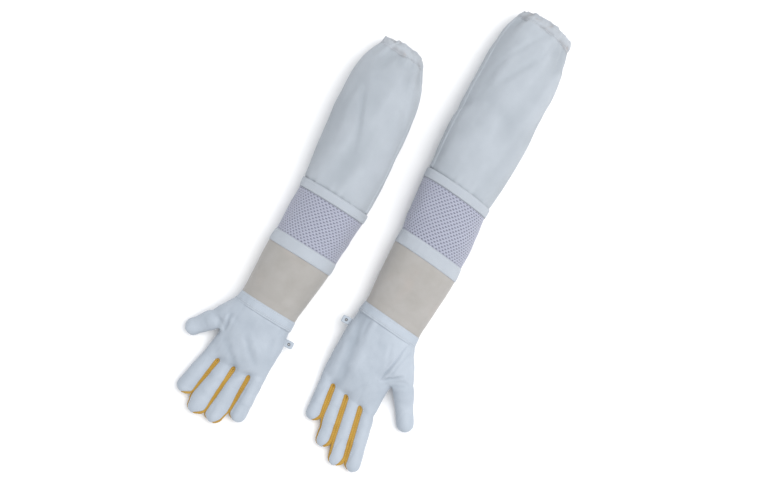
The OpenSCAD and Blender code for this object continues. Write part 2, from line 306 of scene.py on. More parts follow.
def point_normals(points, faces):
    """The mean normal of the quads at each point."""
    a, b, c, d = (points[faces[:, k]] for k in range(4))
    normal = np.cross(c - a, d - b)
    total = np.zeros_like(points)
    for k in range(4):
        np.add.at(total, faces[:, k], normal)
    return total / (np.linalg.norm(total, axis=1, keepdims=True) + 1e-15)


def facing_out(points, faces):
    """The quads turned so that their normals point away from the middle."""
    a, b, c, d = (points[faces[:, k]] for k in range(4))
    away = ((a + c) / 2 - points.mean(0)) * np.cross(c - a, d - b)
    return faces if away.sum() > 0 else faces[:, ::-1]


def corner_uv(uv, faces, turn=None):
    """The texture place of each corner; turn is the length round a closed tube, where u starts again."""
    found = uv[faces]
    if turn is not None:
        u = found[..., 0]
        found[..., 0] = np.where(u.max(1, keepdims=True) - u > turn / 2, u + turn, u)
    return found


def shell(points, faces, uv, thickness, tone=0.0, normals=None):
    """A surface made solid: the same surface again inside, and a rim round every open edge. Normals
    that are given are kept for the shading too."""
    kept = normals is not None
    if not kept:
        normals = point_normals(points, faces)
    n = len(points)
    a, b = faces.ravel(), np.roll(faces, -1, axis=1).ravel()
    corner = np.arange(len(a)).reshape(faces.shape)
    following = np.roll(corner, -1, axis=1).ravel()
    corner = corner.ravel()
    edge = ~np.isin(a * n + b, b * n + a)
    rim = np.stack([b[edge], a[edge], a[edge] + n, b[edge] + n], 1)
    flat_uv = uv.reshape(-1, 2)
    rim_uv = flat_uv[np.stack([following[edge], corner[edge], corner[edge], following[edge]], 1)]
    tone = np.broadcast_to(tone, n)
    cloth = Cloth(
        np.vstack([points, points - normals * thickness]),
        np.vstack([faces, faces[:, ::-1] + n, rim]),
        np.vstack([uv, uv[:, ::-1], rim_uv]),
        tone=np.concatenate([tone, tone]),
    )
    cloth.smooth[2 * len(faces):] = False
    if kept:
        cloth.normals[:n] = normals
    return cloth


def make(name, cloth, materials):
    """A Blender object from a Cloth. The rest attribute keeps each point's place, so that a texture
    doesn't slide when the piece bends."""
    mesh = bpy.data.meshes.new(name)
    mesh.from_pydata(cloth.points.tolist(), [], cloth.faces.tolist())
    mesh.uv_layers.new(name="cloth").data.foreach_set("uv", cloth.uv.ravel())
    mesh.attributes.new("rest", "FLOAT_VECTOR", "POINT").data.foreach_set("vector", cloth.points.ravel())
    # The point attribute that carries each point's painted shade, from 0 to 1.
    mesh.attributes.new("tone", "FLOAT", "POINT").data.foreach_set("value", cloth.tone)
    mesh.polygons.foreach_set("material_index", cloth.slot)
    mesh.polygons.foreach_set("use_smooth", cloth.smooth)
    mesh.update()
    if cloth.normals.any():
        mesh.normals_split_custom_set_from_vertices(cloth.normals.tolist())
    piece = bpy.data.objects.new(name, mesh)
    bpy.context.scene.collection.objects.link(piece)
    for material in materials:
        mesh.materials.append(material)
    return piece


def stitches(line, normals, closed=False):
    """A row of threads along a line of points: each is a short bar that dips in at both ends."""
    if closed:
        line, normals = (np.vstack([array, array[:1]]) for array in (line, normals))
    length = np.concatenate([[0], np.cumsum(np.linalg.norm(np.diff(line, axis=0), axis=1))])
    count = max(1, int(length[-1] / STITCH_PITCH))
    place = (np.arange(count) + 0.5) * length[-1] / count

    def along(values, at):
        return np.stack([np.interp(at, length, values[:, k]) for k in range(3)], 1)

    ahead = along(line, place + STITCH_LENGTH / 2) - along(line, place - STITCH_LENGTH / 2)
    ahead /= np.linalg.norm(ahead, axis=1, keepdims=True) + 1e-12
    up = along(normals, place)
    up /= np.linalg.norm(up, axis=1, keepdims=True) + 1e-12
    side = np.cross(up, ahead)
    centre = along(line, place)
    points = []
    for run, radius, rise in ((-0.5, 0.6, -0.35), (-0.28, 1, 0.25), (0.28, 1, 0.25), (0.5, 0.6, -0.35)):
        for quarter in (0, 1, 2, 3):
            turn = math.pi / 2 * quarter
            points.append(
                centre + ahead * run * STITCH_LENGTH
                + STITCH_R * (radius * math.cos(turn) * side + (radius * math.sin(turn) + rise) * up)
            )
    points = np.stack(points, 1).reshape(-1, 3)
    bar = np.vstack([grid_faces(4, 4), [[3, 2, 1, 0], [12, 13, 14, 15]]])
    faces = (np.arange(count)[:, None, None] * 16 + bar[None]).reshape(-1, 4)
    return Cloth(points, faces, np.zeros((len(faces), 4, 2)), slot=1)


def flat_tube(glove, low, high, fullness=1.0):
    """The rectangle that a stretch of the arm is cut from, and its area. Fullness is how much wider the
    cut is than the arm, for gathers."""
    s = np.linspace(low, high, 12)[:, None]
    ring = glove.skin(*np.broadcast_arrays(s, np.linspace(0, 2 * math.pi, 120)[None, :]))
    girth = np.linalg.norm(np.diff(ring, axis=1), axis=2).sum(1) * fullness
    return (girth.max(), high - low), girth.mean() * (high - low)


def flat_panel(points, faces, heading):
    """The rectangle that a panel is cut from, a little wider than the panel, and its area."""
    a, b, c, d = (points[faces[:, k]] for k in range(4))
    area = 0.5 * np.linalg.norm(np.cross(c - a, d - b), axis=1).sum()
    length = np.ptp(points[np.unique(faces)] @ heading)
    return (1.2 * area / length, length), area


def tube(glove, low, high, lift, out, thickness, rows, tone=None):
    """A made-solid tube of an arm between two places along it."""
    s = np.linspace(low, high, rows)[:, None]
    angle = np.linspace(0, 2 * math.pi, TUBE_COLUMNS, endpoint=False)[None, :]
    points = glove.on_arm(s, angle, lift, out)
    turn = np.linalg.norm(np.diff(points[rows // 2], axis=0), axis=1).sum()
    uv = np.stack(np.broadcast_arrays(angle / (2 * math.pi) * turn, s - low), -1).reshape(-1, 2)
    flat = points.reshape(-1, 3)
    faces = facing_out(flat, grid_faces(rows, TUBE_COLUMNS))
    shade = 0.0 if tone is None else tone(glove, s, angle, glove.local(points)).ravel()
    cloth = shell(flat, faces, corner_uv(uv, faces, turn), thickness, shade)
    cloth.flat, cloth.area = flat_tube(glove, low, high)
    return cloth


def seam_round(glove, s, lift, out):
    """A row of threads round an arm."""
    angle = np.linspace(0, 2 * math.pi, 2 * TUBE_COLUMNS, endpoint=False)
    place = np.full_like(angle, s)
    line = glove.on_arm(place, angle, lift, out)
    outer = glove.on_arm(place, angle, lift, out + 1 * MM)
    return stitches(line, outer - line, closed=True)


# ---------------------------------------------------------------- materials

def new_material(name, colour, roughness, sheen=0.0, specular=0.3):
    """A material with its shader's own values set, and the nodes that the caller goes on with."""
    material = bpy.data.materials.new(name)
    material.use_nodes = True
    tree = material.node_tree
    shader = tree.nodes["Principled BSDF"]
    shader.inputs["Base Color"].default_value = (*colour, 1)
    shader.inputs["Roughness"].default_value = roughness
    shader.inputs["Specular IOR Level"].default_value = specular
    shader.inputs["Sheen Weight"].default_value = sheen
    shader.inputs["Sheen Roughness"].default_value = 0.5
    return material, tree, shader


def add(tree, kind, settings=None, **inputs):
    """A node with settings on it, and inputs that are values or other nodes' sockets."""
    node = tree.nodes.new(kind)
    for key, value in (settings or {}).items():
        setattr(node, key, value)
    for key, value in inputs.items():
        socket = node.inputs[int(key[1:])] if key[0] == "i" and key[1:].isdigit() else node.inputs[key]
        if isinstance(value, bpy.types.NodeSocket):
            tree.links.new(value, socket)
        else:
            socket.default_value = value
    return node


def rest_place(tree):
    """Where a point is at rest, in metres."""
    return add(tree, "ShaderNodeAttribute", {"attribute_name": "rest"}).outputs["Vector"]


def painted_shade_amount(tree):
    """How much painted shade a point has, from 0 to 1: in its folds, creases and seams, along the gauntlet's sides
    and round the tab's eye.
    """
    return add(tree, "ShaderNodeAttribute", {"attribute_name": "tone"}).outputs["Fac"]


def spots(tree, place, size, detail=2.0, roughness=0.5):
    """Noise with features of size, in metres."""
    return add(
        tree, "ShaderNodeTexNoise", Vector=place, Scale=1 / size, Detail=detail, Roughness=roughness
    ).outputs["Fac"]


def mixed(tree, share, first, second):
    """A colour between two, by share."""
    node = add(tree, "ShaderNodeMix", {"data_type": "RGBA"}, i0=share)
    for socket, colour in ((node.inputs[6], first), (node.inputs[7], second)):
        if isinstance(colour, bpy.types.NodeSocket):
            tree.links.new(colour, socket)
        else:
            socket.default_value = (*colour, 1)
    return node.outputs[2]


def ranged(tree, value, low, high, to_low, to_high):
    """A value between low and high as one between to_low and to_high."""
    node = add(tree, "ShaderNodeMapRange", {"clamp": True}, Value=value)
    for key, number in (("From Min", low), ("From Max", high), ("To Min", to_low), ("To Max", to_high)):
        node.inputs[key].default_value = number
    return node.outputs[0]


def maths(tree, operation, first, second=0.0):
    """A sum, a product or another function of one or two values."""
    return add(tree, "ShaderNodeMath", {"operation": operation}, i0=first, i1=second).outputs[0]


def bumped(tree, shader, height, distance, strength, under=None):
    """A bump of height times distance on the shader, on top of the bump under it."""
    node = add(tree, "ShaderNodeBump", Height=height, Distance=distance, Strength=strength)
    if under is not None:
        tree.links.new(under, node.inputs["Normal"])
    tree.links.new(node.outputs["Normal"], shader.inputs["Normal"])
    return node.outputs["Normal"]


def threads(tree, pitch, twill=0.0):
    """The height of a plain weave of threads a pitch apart; twill slants it."""
    uv = add(tree, "ShaderNodeUVMap", {"uv_map": "cloth"}).outputs[0]
    parts = add(tree, "ShaderNodeSeparateXYZ", Vector=uv)
    wave = 2 * math.pi / pitch
    u = maths(tree, "MULTIPLY", parts.outputs[0], wave)
    v = maths(tree, "MULTIPLY", parts.outputs[1], wave)
    if twill:
        u = maths(tree, "ADD", u, maths(tree, "MULTIPLY", v, twill))
    across = maths(tree, "SINE", u)
    along = maths(tree, "SINE", v)
    return maths(tree, "MULTIPLY", across, along)


def woven(name, light, dark, pitch, twill=0.0, slub=0.25, warm=None):
    """Cotton cloth: a weave, uneven threads, soft cloudy colour and painted shade in its folds. Warm is the
    colour of patches in the folds."""
    material, tree, shader = new_material(name, light, 0.85, sheen=0.25, specular=0.2)
    place = rest_place(tree)
    weave = threads(tree, pitch, twill)
    uneven = spots(tree, place, 3.5 * pitch, 3)
    cloud = spots(tree, place, 0.035, 3)
    colour = mixed(tree, ranged(tree, cloud, 0.35, 0.7, 0, slub), light, dark)
    thread_shade = ranged(tree, weave, -1, 0.6, 0.16, 0)
    colour = mixed(tree, thread_shade, colour, dark)
    colour = mixed(tree, painted_shade_amount(tree), colour, dark)
    if warm is not None:
        patch = ranged(tree, spots(tree, place, 0.011, 2), 0.56, 0.7, 0, 0.55)
        colour = mixed(tree, maths(tree, "MULTIPLY", patch, painted_shade_amount(tree)), colour, warm)
    tree.links.new(colour, shader.inputs["Base Color"])
    first = bumped(tree, shader, uneven, 0.25 * MM, 0.5)
    bumped(tree, shader, weave, 0.16 * MM, 0.9, first)
    return material


def leather(name, light, dark):
    """Goat leather: pebbled grain, fine pores, soft mottling, and painted shade in its creases and along its
    seams.
    """
    grain = 1.1 * MM
    material, tree, shader = new_material(name, light, 0.55, sheen=0.08, specular=0.35)
    place = rest_place(tree)
    cells = add(
        tree, "ShaderNodeTexVoronoi", {"feature": "SMOOTH_F1"}, Vector=place, Scale=1 / grain, Smoothness=0.6
    ).outputs["Distance"]
    pores = spots(tree, place, 0.35 * grain, 2)
    cloud = spots(tree, place, 0.03, 3)
    colour = mixed(tree, ranged(tree, cloud, 0.35, 0.72, 0, 0.25), light, dark)
    colour = mixed(tree, ranged(tree, cells, 0.35, 0.8, 0, 0.16), colour, dark)
    colour = mixed(tree, painted_shade_amount(tree), colour, dark)
    tree.links.new(colour, shader.inputs["Base Color"])
    polish = ranged(tree, spots(tree, place, 0.009, 3), 0.3, 0.7, 0.47, 0.65)
    tree.links.new(polish, shader.inputs["Roughness"])
    first = bumped(tree, shader, cells, -0.22 * MM, 0.55)
    bumped(tree, shader, pores, 0.1 * MM, 0.5, first)
    return material


def suede(name, light, dark, blotch, nap=0.5 * MM, sheen=0.35):
    """Napped leather: short uneven fibres, cloudy colour, faint blotches, and painted shade in its folds, seams
    and sides.
    """
    material, tree, shader = new_material(name, light, 0.92, sheen=sheen, specular=0.12)
    place = rest_place(tree)
    cloud = spots(tree, place, 0.03, 5, 0.6)
    fibre = spots(tree, place, nap, 4, 0.7)
    colour = mixed(tree, ranged(tree, cloud, 0.34, 0.7, 0, 0.55), light, dark)
    patch = ranged(tree, spots(tree, place, 0.045, 2), 0.55, 0.75, 0, 0.45)
    colour = mixed(tree, patch, colour, blotch)
    colour = mixed(tree, ranged(tree, fibre, 0.3, 0.7, 0.3, 0), colour, dark)
    colour = mixed(tree, painted_shade_amount(tree), colour, dark)
    tree.links.new(colour, shader.inputs["Base Color"])
    bumped(tree, shader, fibre, 0.22 * MM, 0.8)
    return material


def knitted(name, light, dark, pitch):
    """Smooth synthetic yarn in fine loops, with painted shade in its folds."""
    material, tree, shader = new_material(name, light, 0.6, sheen=0.3, specular=0.35)
    weave = threads(tree, pitch, 1.0)
    colour = mixed(tree, ranged(tree, weave, -1, 0.5, 0.35, 0), light, dark)
    colour = mixed(tree, painted_shade_amount(tree), colour, dark)
    tree.links.new(colour, shader.inputs["Base Color"])
    bumped(tree, shader, weave, 0.15 * MM, 0.8)
    return material


def thread_material(name, colour, dark):
    """Twisted sewing thread."""
    material, tree, shader = new_material(name, colour, 0.5, sheen=0.2, specular=0.4)
    twist = add(
        tree, "ShaderNodeTexWave", {"bands_direction": "DIAGONAL"}, Vector=rest_place(tree), Scale=420.0
    ).outputs["Fac"]
    shade = mixed(tree, ranged(tree, twist, 0, 1, 0.3, 0), colour, dark)
    tree.links.new(shade, shader.inputs["Base Color"])
    bumped(tree, shader, twist, 0.1 * MM, 0.7)
    return material


CANVAS = woven("canvas", (0.437, 0.475, 0.523), (0.30, 0.335, 0.374), 0.9 * MM)
HEM_CANVAS = woven(
    "gathered_canvas", (0.44, 0.475, 0.52), (0.30, 0.31, 0.335), 0.9 * MM, warm=(0.55, 0.38, 0.29)
)
BAND = woven("band_cotton", (0.475, 0.515, 0.57), (0.37, 0.405, 0.46), 0.7 * MM, twill=1.0, slub=0.15)
WHITE = leather("white_leather", (0.40, 0.445, 0.505), (0.275, 0.32, 0.375))
YELLOW = suede(
    "yellow_leather", (0.45, 0.276, 0.054), (0.295, 0.157, 0.022), (0.50, 0.34, 0.087), 0.8 * MM, 0.15
)
SUEDE = suede("gauntlet_suede", (0.365, 0.352, 0.342), (0.285, 0.272, 0.252), (0.40, 0.352, 0.328))
NET = knitted("vent_mesh", (0.40, 0.418, 0.515), (0.30, 0.312, 0.40), 0.8 * MM)
SPACER = knitted("spacer_knit", (0.235, 0.245, 0.32), (0.16, 0.165, 0.225), 1.2 * MM)
LINING = knitted("mesh_lining", (0.40, 0.42, 0.54), (0.25, 0.26, 0.36), 2.4 * MM)
ELASTIC = woven("elastic", (0.55, 0.44, 0.38), (0.38, 0.29, 0.24), 1.4 * MM)
THREAD = thread_material("white_thread", (0.54, 0.58, 0.63), (0.37, 0.41, 0.46))
YELLOW_THREAD = thread_material("yellow_thread", (0.58, 0.36, 0.09), (0.42, 0.22, 0.035))
# A near-black thread that stands in for the shadow inside the side tab's eye.
EYE_SHADOW_THREAD = thread_material("eye_shadow_thread", (0.11, 0.10, 0.10), (0.05, 0.05, 0.05))


# ---------------------------------------------------------------- arms

def canvas_lift(glove, s, angle, local):
    """The canvas: long soft folds, short gathers above the band, deep gathers under the elastic."""
    seed = 11 + GLOVES.index(glove.side)
    low, high = glove.span("sleeve")
    from_band, from_hem = np.maximum(s - low, 0), np.maximum(high - s, 0)
    long_folds = 2.5 * noise(local, (0.026, 0.15, 0.03), seed)
    long_folds += 0.7 * noise(local, (0.011, 0.07, 0.014), seed + 5)
    slanted = -1.8 * np.exp(-(noise(turned(local, -24), (0.03, 0.15, 0.04), seed + 9) / 0.3) ** 2)
    crumple = 0.3 * noise(local, 0.012, seed + 3)
    band_gathers = 1.3 * np.exp(-from_band / 0.014) * noise(local, (0.006, 0.05, 0.007), seed + 7)
    deep_gathers = 2.4 * noise(local, (0.011, 0.2, 0.012), seed + 13)
    deep_gathers += noise(local, (0.005, 0.1, 0.006), seed + 15)
    hem_gathers = np.exp(-from_hem / 0.026) * deep_gathers
    held = 1 - 0.75 * np.exp(-from_band / 0.03)
    tuck = -1.3 * np.exp(-(from_band / 0.0022) ** 2)
    return MM * ((long_folds + slanted + crumple) * held + band_gathers + hem_gathers + tuck)


def hem_lift(glove, s, angle, local):
    """The gathered hem round the elastic, which goes on from the canvas."""
    seed = 41 + GLOVES.index(glove.side)
    low, high = glove.span("cuff_casing")
    share = np.clip((s - low) / (high - low), 0, 1)
    crumple = 1.9 * noise(local, (0.0085, 0.03, 0.009), seed)
    crumple += 0.9 * noise(local, (0.004, 0.012, 0.004), seed + 1)
    crown = 1.2 * np.sin(math.pi * share)
    stitched = -0.9 * np.exp(-((s - low - 2 * MM) / 0.0016) ** 2)
    from_canvas = canvas_lift(glove, s, angle, local) * (1 - share)
    return MM * (crumple * (0.5 + share) + crown + stitched) + from_canvas


def band_lift(low, high, crown, seed):
    """A folded band: a low crown, fine puckers, and its stitches drawn in."""
    def lift(glove, s, angle, local):
        share = np.clip((s - low) / (high - low), 0, 1)
        round_edge = 1 - (2 * share - 1) ** 6
        puckers = 0.35 * noise(local, (0.005, 0.012, 0.005), seed + GLOVES.index(glove.side))
        waves = 0.6 * noise(local, (0.03, 0.2, 0.03), seed + 2)
        drawn_in = sum(np.exp(-((s - row) / 0.0012) ** 2) for row in (low + BAND_SEAM, high - BAND_SEAM))
        return MM * (crown * round_edge + (puckers + waves) * round_edge - 0.3 * drawn_in)
    return lift


def mesh_lift(glove, s, angle, local):
    """The vent mesh gives a little between its bands."""
    low, high = glove.span("mesh_outer")
    share = np.clip((s - low) / (high - low), 0, 1)
    give = np.sin(math.pi * share)
    seed = 61 + GLOVES.index(glove.side)
    return MM * give * (1.6 * noise(local, (0.03, 0.06, 0.03), seed) + 0.5 * noise(local, 0.014, seed + 1))


def gauntlet_lift(glove, s, angle, local):
    """Suede that lies almost flat, with a few wide waves and a fold near its lower end."""
    low, high = glove.span("gauntlet")
    share = np.clip((s - low) / (high - low), 0, 1)
    seed = 71 + GLOVES.index(glove.side)
    waves = 1.0 * noise(local, (0.04, 0.07, 0.04), seed) + 0.35 * noise(local, (0.016, 0.03, 0.016), seed + 1)
    slack = -0.8 * np.exp(-((share - 0.12) / 0.05) ** 2) * (0.6 + 0.4 * noise(local, 0.03, seed + 2))
    return MM * (waves * np.sin(math.pi * np.clip(share, 0.04, 0.96)) + slack)


def fold_shade(lift, depth, strength):
    """How dark the folds of a lift are: a valley of depth is as dark as strength."""
    def tone(glove, s, angle, local):
        return strength * np.clip(-lift(glove, s, angle, local) / depth, 0, 1)
    return tone


def gauntlet_painted_shade(glove, s, angle, local):
    """Painted shade in the folds, and painted shade along both sides, where the suede turns down away from the
    light.
    """
    edge = np.abs(np.cos(angle)) ** 8
    # Painted shade along both sides of the tube, a little uneven.
    side_shade = 0.5 * edge * (0.6 + 0.4 * noise(local, 0.02, 81))
    return np.clip(fold_shade(gauntlet_lift, 1.2 * MM, 0.35)(glove, s, angle, local) + side_shade, 0, 1)


def net(glove, low, high, lift, out, pitch_u, pitch_v, hole):
    """A tube of mesh with real holes: bricks of cloth in staggered rows, each with an oval hole."""
    middle = np.full(200, (low + high) / 2)
    ring = glove.skin(middle, np.linspace(0, 2 * math.pi, 200), out)
    turn = np.linalg.norm(np.diff(ring, axis=0), axis=1).sum()
    columns = int(round(turn / pitch_u))
    rows = int(round((high - low) / pitch_v))
    corner = np.array([(-1, -1), (0, -1), (1, -1), (1, 0), (1, 1), (0, 1), (-1, 1), (-1, 0)]) / 2
    row, column = np.meshgrid(np.arange(rows), np.arange(columns), indexing="ij")
    centre = np.stack([(column + 0.5 * (row % 2)).ravel(), (row + 0.5).ravel()], 1)
    round_hole = corner / np.linalg.norm(corner, axis=1, keepdims=True) * hole
    outer = centre[:, None] + corner
    inner = centre[:, None] + round_hole
    half_columns = np.round(outer[..., 0] * 2).astype(int) % (2 * columns)
    half_rows = np.round(outer[..., 1] * 2).astype(int)
    key = half_rows * 2 * columns + half_columns
    unique, index = np.unique(key, return_inverse=True)
    index = index.reshape(key.shape)
    edge_uv = np.stack([unique % (2 * columns), unique // (2 * columns)], 1) / 2
    uv = np.vstack([edge_uv, inner.reshape(-1, 2)])
    hole_index = len(unique) + np.arange(len(centre) * 8).reshape(-1, 8)
    following = np.roll(np.arange(8), -1)
    faces = np.stack([
        index, index[:, following], hole_index[:, following], hole_index,
    ], -1).reshape(-1, 4)
    angle = uv[:, 0] / columns * 2 * math.pi
    s = low + uv[:, 1] / rows * (high - low)
    points = glove.on_arm(s, angle, lift, out)
    faces = facing_out(points, faces)
    place = np.stack([uv[:, 0] / columns * turn, s - low], 1)
    return shell(points, faces, corner_uv(place, faces, turn), MESH_T)


def standing_for(glove, node, name, cloth, materials):
    """A piece that is shown in place of a CAD node."""
    piece = make(f"{glove.side}_{name}", cloth, materials)
    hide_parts(f"{glove.side}_{node}")
    return piece


def bend_at_wrist(piece, glove):
    """The piece's place is baked into its points; the pivot where the hand leaves the gauntlet is looked up but
    not used.
    """
    pivot = glove.pivot("wrist_flex")
    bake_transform(piece)


def bend_at_mesh(piece, glove):
    """The piece's place is baked into its points; the pivot where the sleeve folds and the ends of the vent mesh
    along it are worked out but not used.
    """
    pivot = glove.pivot("sleeve_fold")
    start, end = (pivot + glove.along * (edge - pivot @ glove.along) for edge in glove.span("mesh_outer"))
    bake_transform(piece)


def sleeve(glove):
    """The canvas from the upper band to the gathered hem."""
    low, high = glove.span("sleeve")
    cloth = tube(
        glove, low - 1.5 * MM, high + 1 * MM, canvas_lift, 0, CANVAS_T, rows=120,
        tone=fold_shade(canvas_lift, 3 * MM, 0.55),
    )
    piece = standing_for(glove, "sleeve", "sleeve_canvas", cloth, [CANVAS])
    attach(piece, glove.side + "_sleeve")


def felled_seam(glove):
    """A flat double seam along the little-finger side, with a row of threads by each edge."""
    low, high = glove.span("sleeve_seam")
    middle, half = math.radians(163), math.radians(7)
    rows, columns = 120, 13
    s = np.linspace(low + 1 * MM, high - 1 * MM, rows)[:, None]
    share = np.linspace(-1, 1, columns)[None, :]

    def lift(glove, s, angle, local):
        across = np.clip(np.abs(angle - middle) / half, 0, 1)
        pucker = 0.25 * noise(local, (0.005, 0.006, 0.005), 31)
        return canvas_lift(glove, s, angle, local) + MM * (0.9 + pucker) * (1 - across ** 3) - 0.2 * MM

    angle = middle + half * share
    points = glove.on_arm(s, angle, lift)
    width = np.linalg.norm(points[rows // 2, -1] - points[rows // 2, 0])
    uv = np.stack(np.broadcast_arrays(share * width / 2, s - low), -1).reshape(-1, 2)
    faces = grid_faces(rows, columns, closed=False)
    normals = point_normals(points.reshape(-1, 3), faces)
    if (normals @ UP).mean() < 0:
        faces = faces[:, ::-1]
    # Painted shade along both edges of the strip, where it meets the canvas.
    tone = 0.35 * np.broadcast_to(np.abs(share) ** 8, points.shape[:2]).ravel()
    cloth = shell(points.reshape(-1, 3), faces, corner_uv(uv, faces), 0.6 * MM, tone)
    for side in (-0.7, 0.7):
        row = np.full(rows, middle + half * side)
        line = glove.on_arm(s[:, 0], row, lift)
        outer = glove.on_arm(s[:, 0], row, lift, 1 * MM)
        cloth.joined(stitches(line, outer - line))
    piece = standing_for(glove, "sleeve_seam", "felled_seam", cloth, [CANVAS, THREAD])
    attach(piece, glove.side + "_sleeve")


def gathered_hem(glove):
    """The hem goes out to the sleeve's end, round it, and back inside over the elastic."""
    low, high = glove.span("cuff_casing")
    depth, rows = 3.6 * MM, 14
    out_run = np.linspace(low - 1 * MM, high - 0.6 * MM, rows)
    lip = np.linspace(0, math.pi, 8)[1:-1]
    s = np.concatenate([out_run, high - 0.6 * MM + 0.9 * MM * np.sin(lip), out_run[::-1]])
    out = np.concatenate([np.zeros(rows), -depth / 2 * (1 - np.cos(lip)), np.full(rows, -depth)])
    angle = np.linspace(0, 2 * math.pi, TUBE_COLUMNS, endpoint=False)
    ragged = 1.3 * MM * noise(np.stack([np.cos(angle), np.sin(angle), 0 * angle], 1), 0.16, 57)
    bow = 3.5 * MM * np.abs(np.sin(angle)) - 1 * MM + ragged
    share = np.clip((s - low) / (high - low), 0, 1)
    points = np.stack([
        glove.on_arm(a + k * bow, angle, hem_lift, b) for a, b, k in zip(s, out, share)
    ])
    turn = np.linalg.norm(np.diff(points[0], axis=0), axis=1).sum()
    run = np.concatenate([[0], np.cumsum(np.linalg.norm(np.diff(points[:, 0], axis=0), axis=1))])
    uv = np.stack(np.broadcast_arrays(angle / (2 * math.pi) * turn, run[:, None]), -1).reshape(-1, 2)
    flat = points.reshape(-1, 3)
    faces = grid_faces(len(s), TUBE_COLUMNS)
    outer = faces[:(rows - 2) * TUBE_COLUMNS]
    if (facing_out(flat, outer)[0] != outer[0]).any():
        faces = faces[:, ::-1]
    shade = fold_shade(hem_lift, 2 * MM, 0.7)(glove, s[:, None], angle[None], glove.local(points))
    cloth = shell(flat, faces, corner_uv(uv, faces, turn), 0.8 * MM, shade.ravel())
    cloth.joined(seam_round(glove, low + 2 * MM, hem_lift, 0.1 * MM))
    piece = standing_for(glove, "cuff_casing", "gathered_hem", cloth, [HEM_CANVAS, THREAD])
    (width, length), area = flat_tube(glove, low, high, 1.15)
    cloth.flat, cloth.area = (width, 2 * length), 2 * area
    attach(piece, glove.side + "_sleeve")


def elastic(glove):
    """The elastic lies inside the hem and follows its gathers."""
    low, high = glove.span("cuff_elastic")
    cloth = tube(glove, low, high - 0.6 * MM, hem_lift, -1.5 * MM, 1.1 * MM, rows=8)
    piece = standing_for(glove, "cuff_elastic", "elastic_band", cloth, [ELASTIC])
    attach(piece, glove.side + "_sleeve")


def band(glove, node, body):
    """A folded band round the arm with a row of threads near each of its edges."""
    low, high = glove.span(node)
    lift = band_lift(low, high, 0.7, 21)
    cloth = tube(glove, low, high, lift, 0, BAND_T, rows=14, tone=fold_shade(lift, 1.5 * MM, 0.4))
    for place in (low + BAND_SEAM, high - BAND_SEAM):
        cloth.joined(seam_round(glove, place, lift, 0.15 * MM))
    piece = standing_for(glove, node, node + "_cloth", cloth, [BAND, THREAD])
    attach(piece, f"{glove.side}_{body}")


def vent_mesh(glove):
    """Three layers between the bands: mesh with holes, a spacer of dark yarn, and a lining mesh."""
    low, high = glove.span("mesh_outer")
    outer = net(glove, low, high, mesh_lift, -0.3 * MM, 5.4 * MM, 3.3 * MM, np.array([0.27, 0.31]))
    spacer = tube(glove, low, high, mesh_lift, -1.4 * MM, 0.9 * MM, rows=30)
    lining = net(glove, low, high, mesh_lift, -2.6 * MM, 6.6 * MM, 4.4 * MM, np.array([0.3, 0.3]))
    for cloth, node, slot, material in (
        (outer, "mesh_outer", "vent_mesh", NET),
        (spacer, "mesh_spacer", "spacer_knit", SPACER),
        (lining, "mesh_lining", "vent_mesh", LINING),
    ):
        piece = standing_for(glove, node, node + "_cloth", cloth, [material])
        cloth.flat, cloth.area = flat_tube(glove, low, high)
        bend_at_mesh(piece, glove)


def gauntlet(glove):
    """Suede from the wrist to the lower band."""
    low, high = glove.span("gauntlet")
    cloth = tube(
        glove, low - 2 * MM, high + 1 * MM, gauntlet_lift, -0.5 * MM, SUEDE_T, rows=56, tone=gauntlet_painted_shade
    )
    piece = standing_for(glove, "gauntlet", "gauntlet_suede", cloth, [SUEDE])
    bend_at_wrist(piece, glove)


def wrist_hem(glove):
    """The hand's doubled hem over the end of the gauntlet."""
    low, high = glove.span("wrist_hem")
    lift = band_lift(low, high, 0.6, 25)
    proud = HEM_PROUD[glove.side]
    cloth = tube(glove, low, high, lift, proud, 2 * LEATHER_T, rows=14, tone=fold_shade(lift, 1.5 * MM, 0.4))
    for place in (low + 1.8 * MM, low + 4.4 * MM, high - 2.2 * MM):
        cloth.joined(seam_round(glove, place, lift, proud + 0.15 * MM))
    piece = standing_for(glove, "wrist_hem", "wrist_hem_leather", cloth, [WHITE, THREAD])
    bend_at_wrist(piece, glove)


# ---------------------------------------------------------------- hands

# Cage quads over a digit, and on each of its sides
TOP = 6
SIDE = 4
LINE = TOP * len(FINGERS)
# Angles of a ring's side, in degrees: the leather's edge beside a gusset, and elsewhere
GUSSET = 40
PLAIN = 30
# How far the leather's edge stands back from the end of a gusset's reach, and how far that reach goes past
# the middle of the gap between two fingers: neighbouring gussets overlap by up to twice this
STRIPE = {"right": 4.2 * MM, "left": 4.9 * MM}
MEETING = 0.9 * MM
# How far the hand runs up under its hem
HEM_LAP = 4 * MM
# Distance between the cage's rings along a digit and along the hand
RING_STEP = 7 * MM
PALM_STEP = 6.5 * MM
# Rings of a round tip, as shares of the digit's width from its end
TIP_STEPS = (0.5, 0.38, 0.27, 0.17, 0.09, 0.04, 0.01)

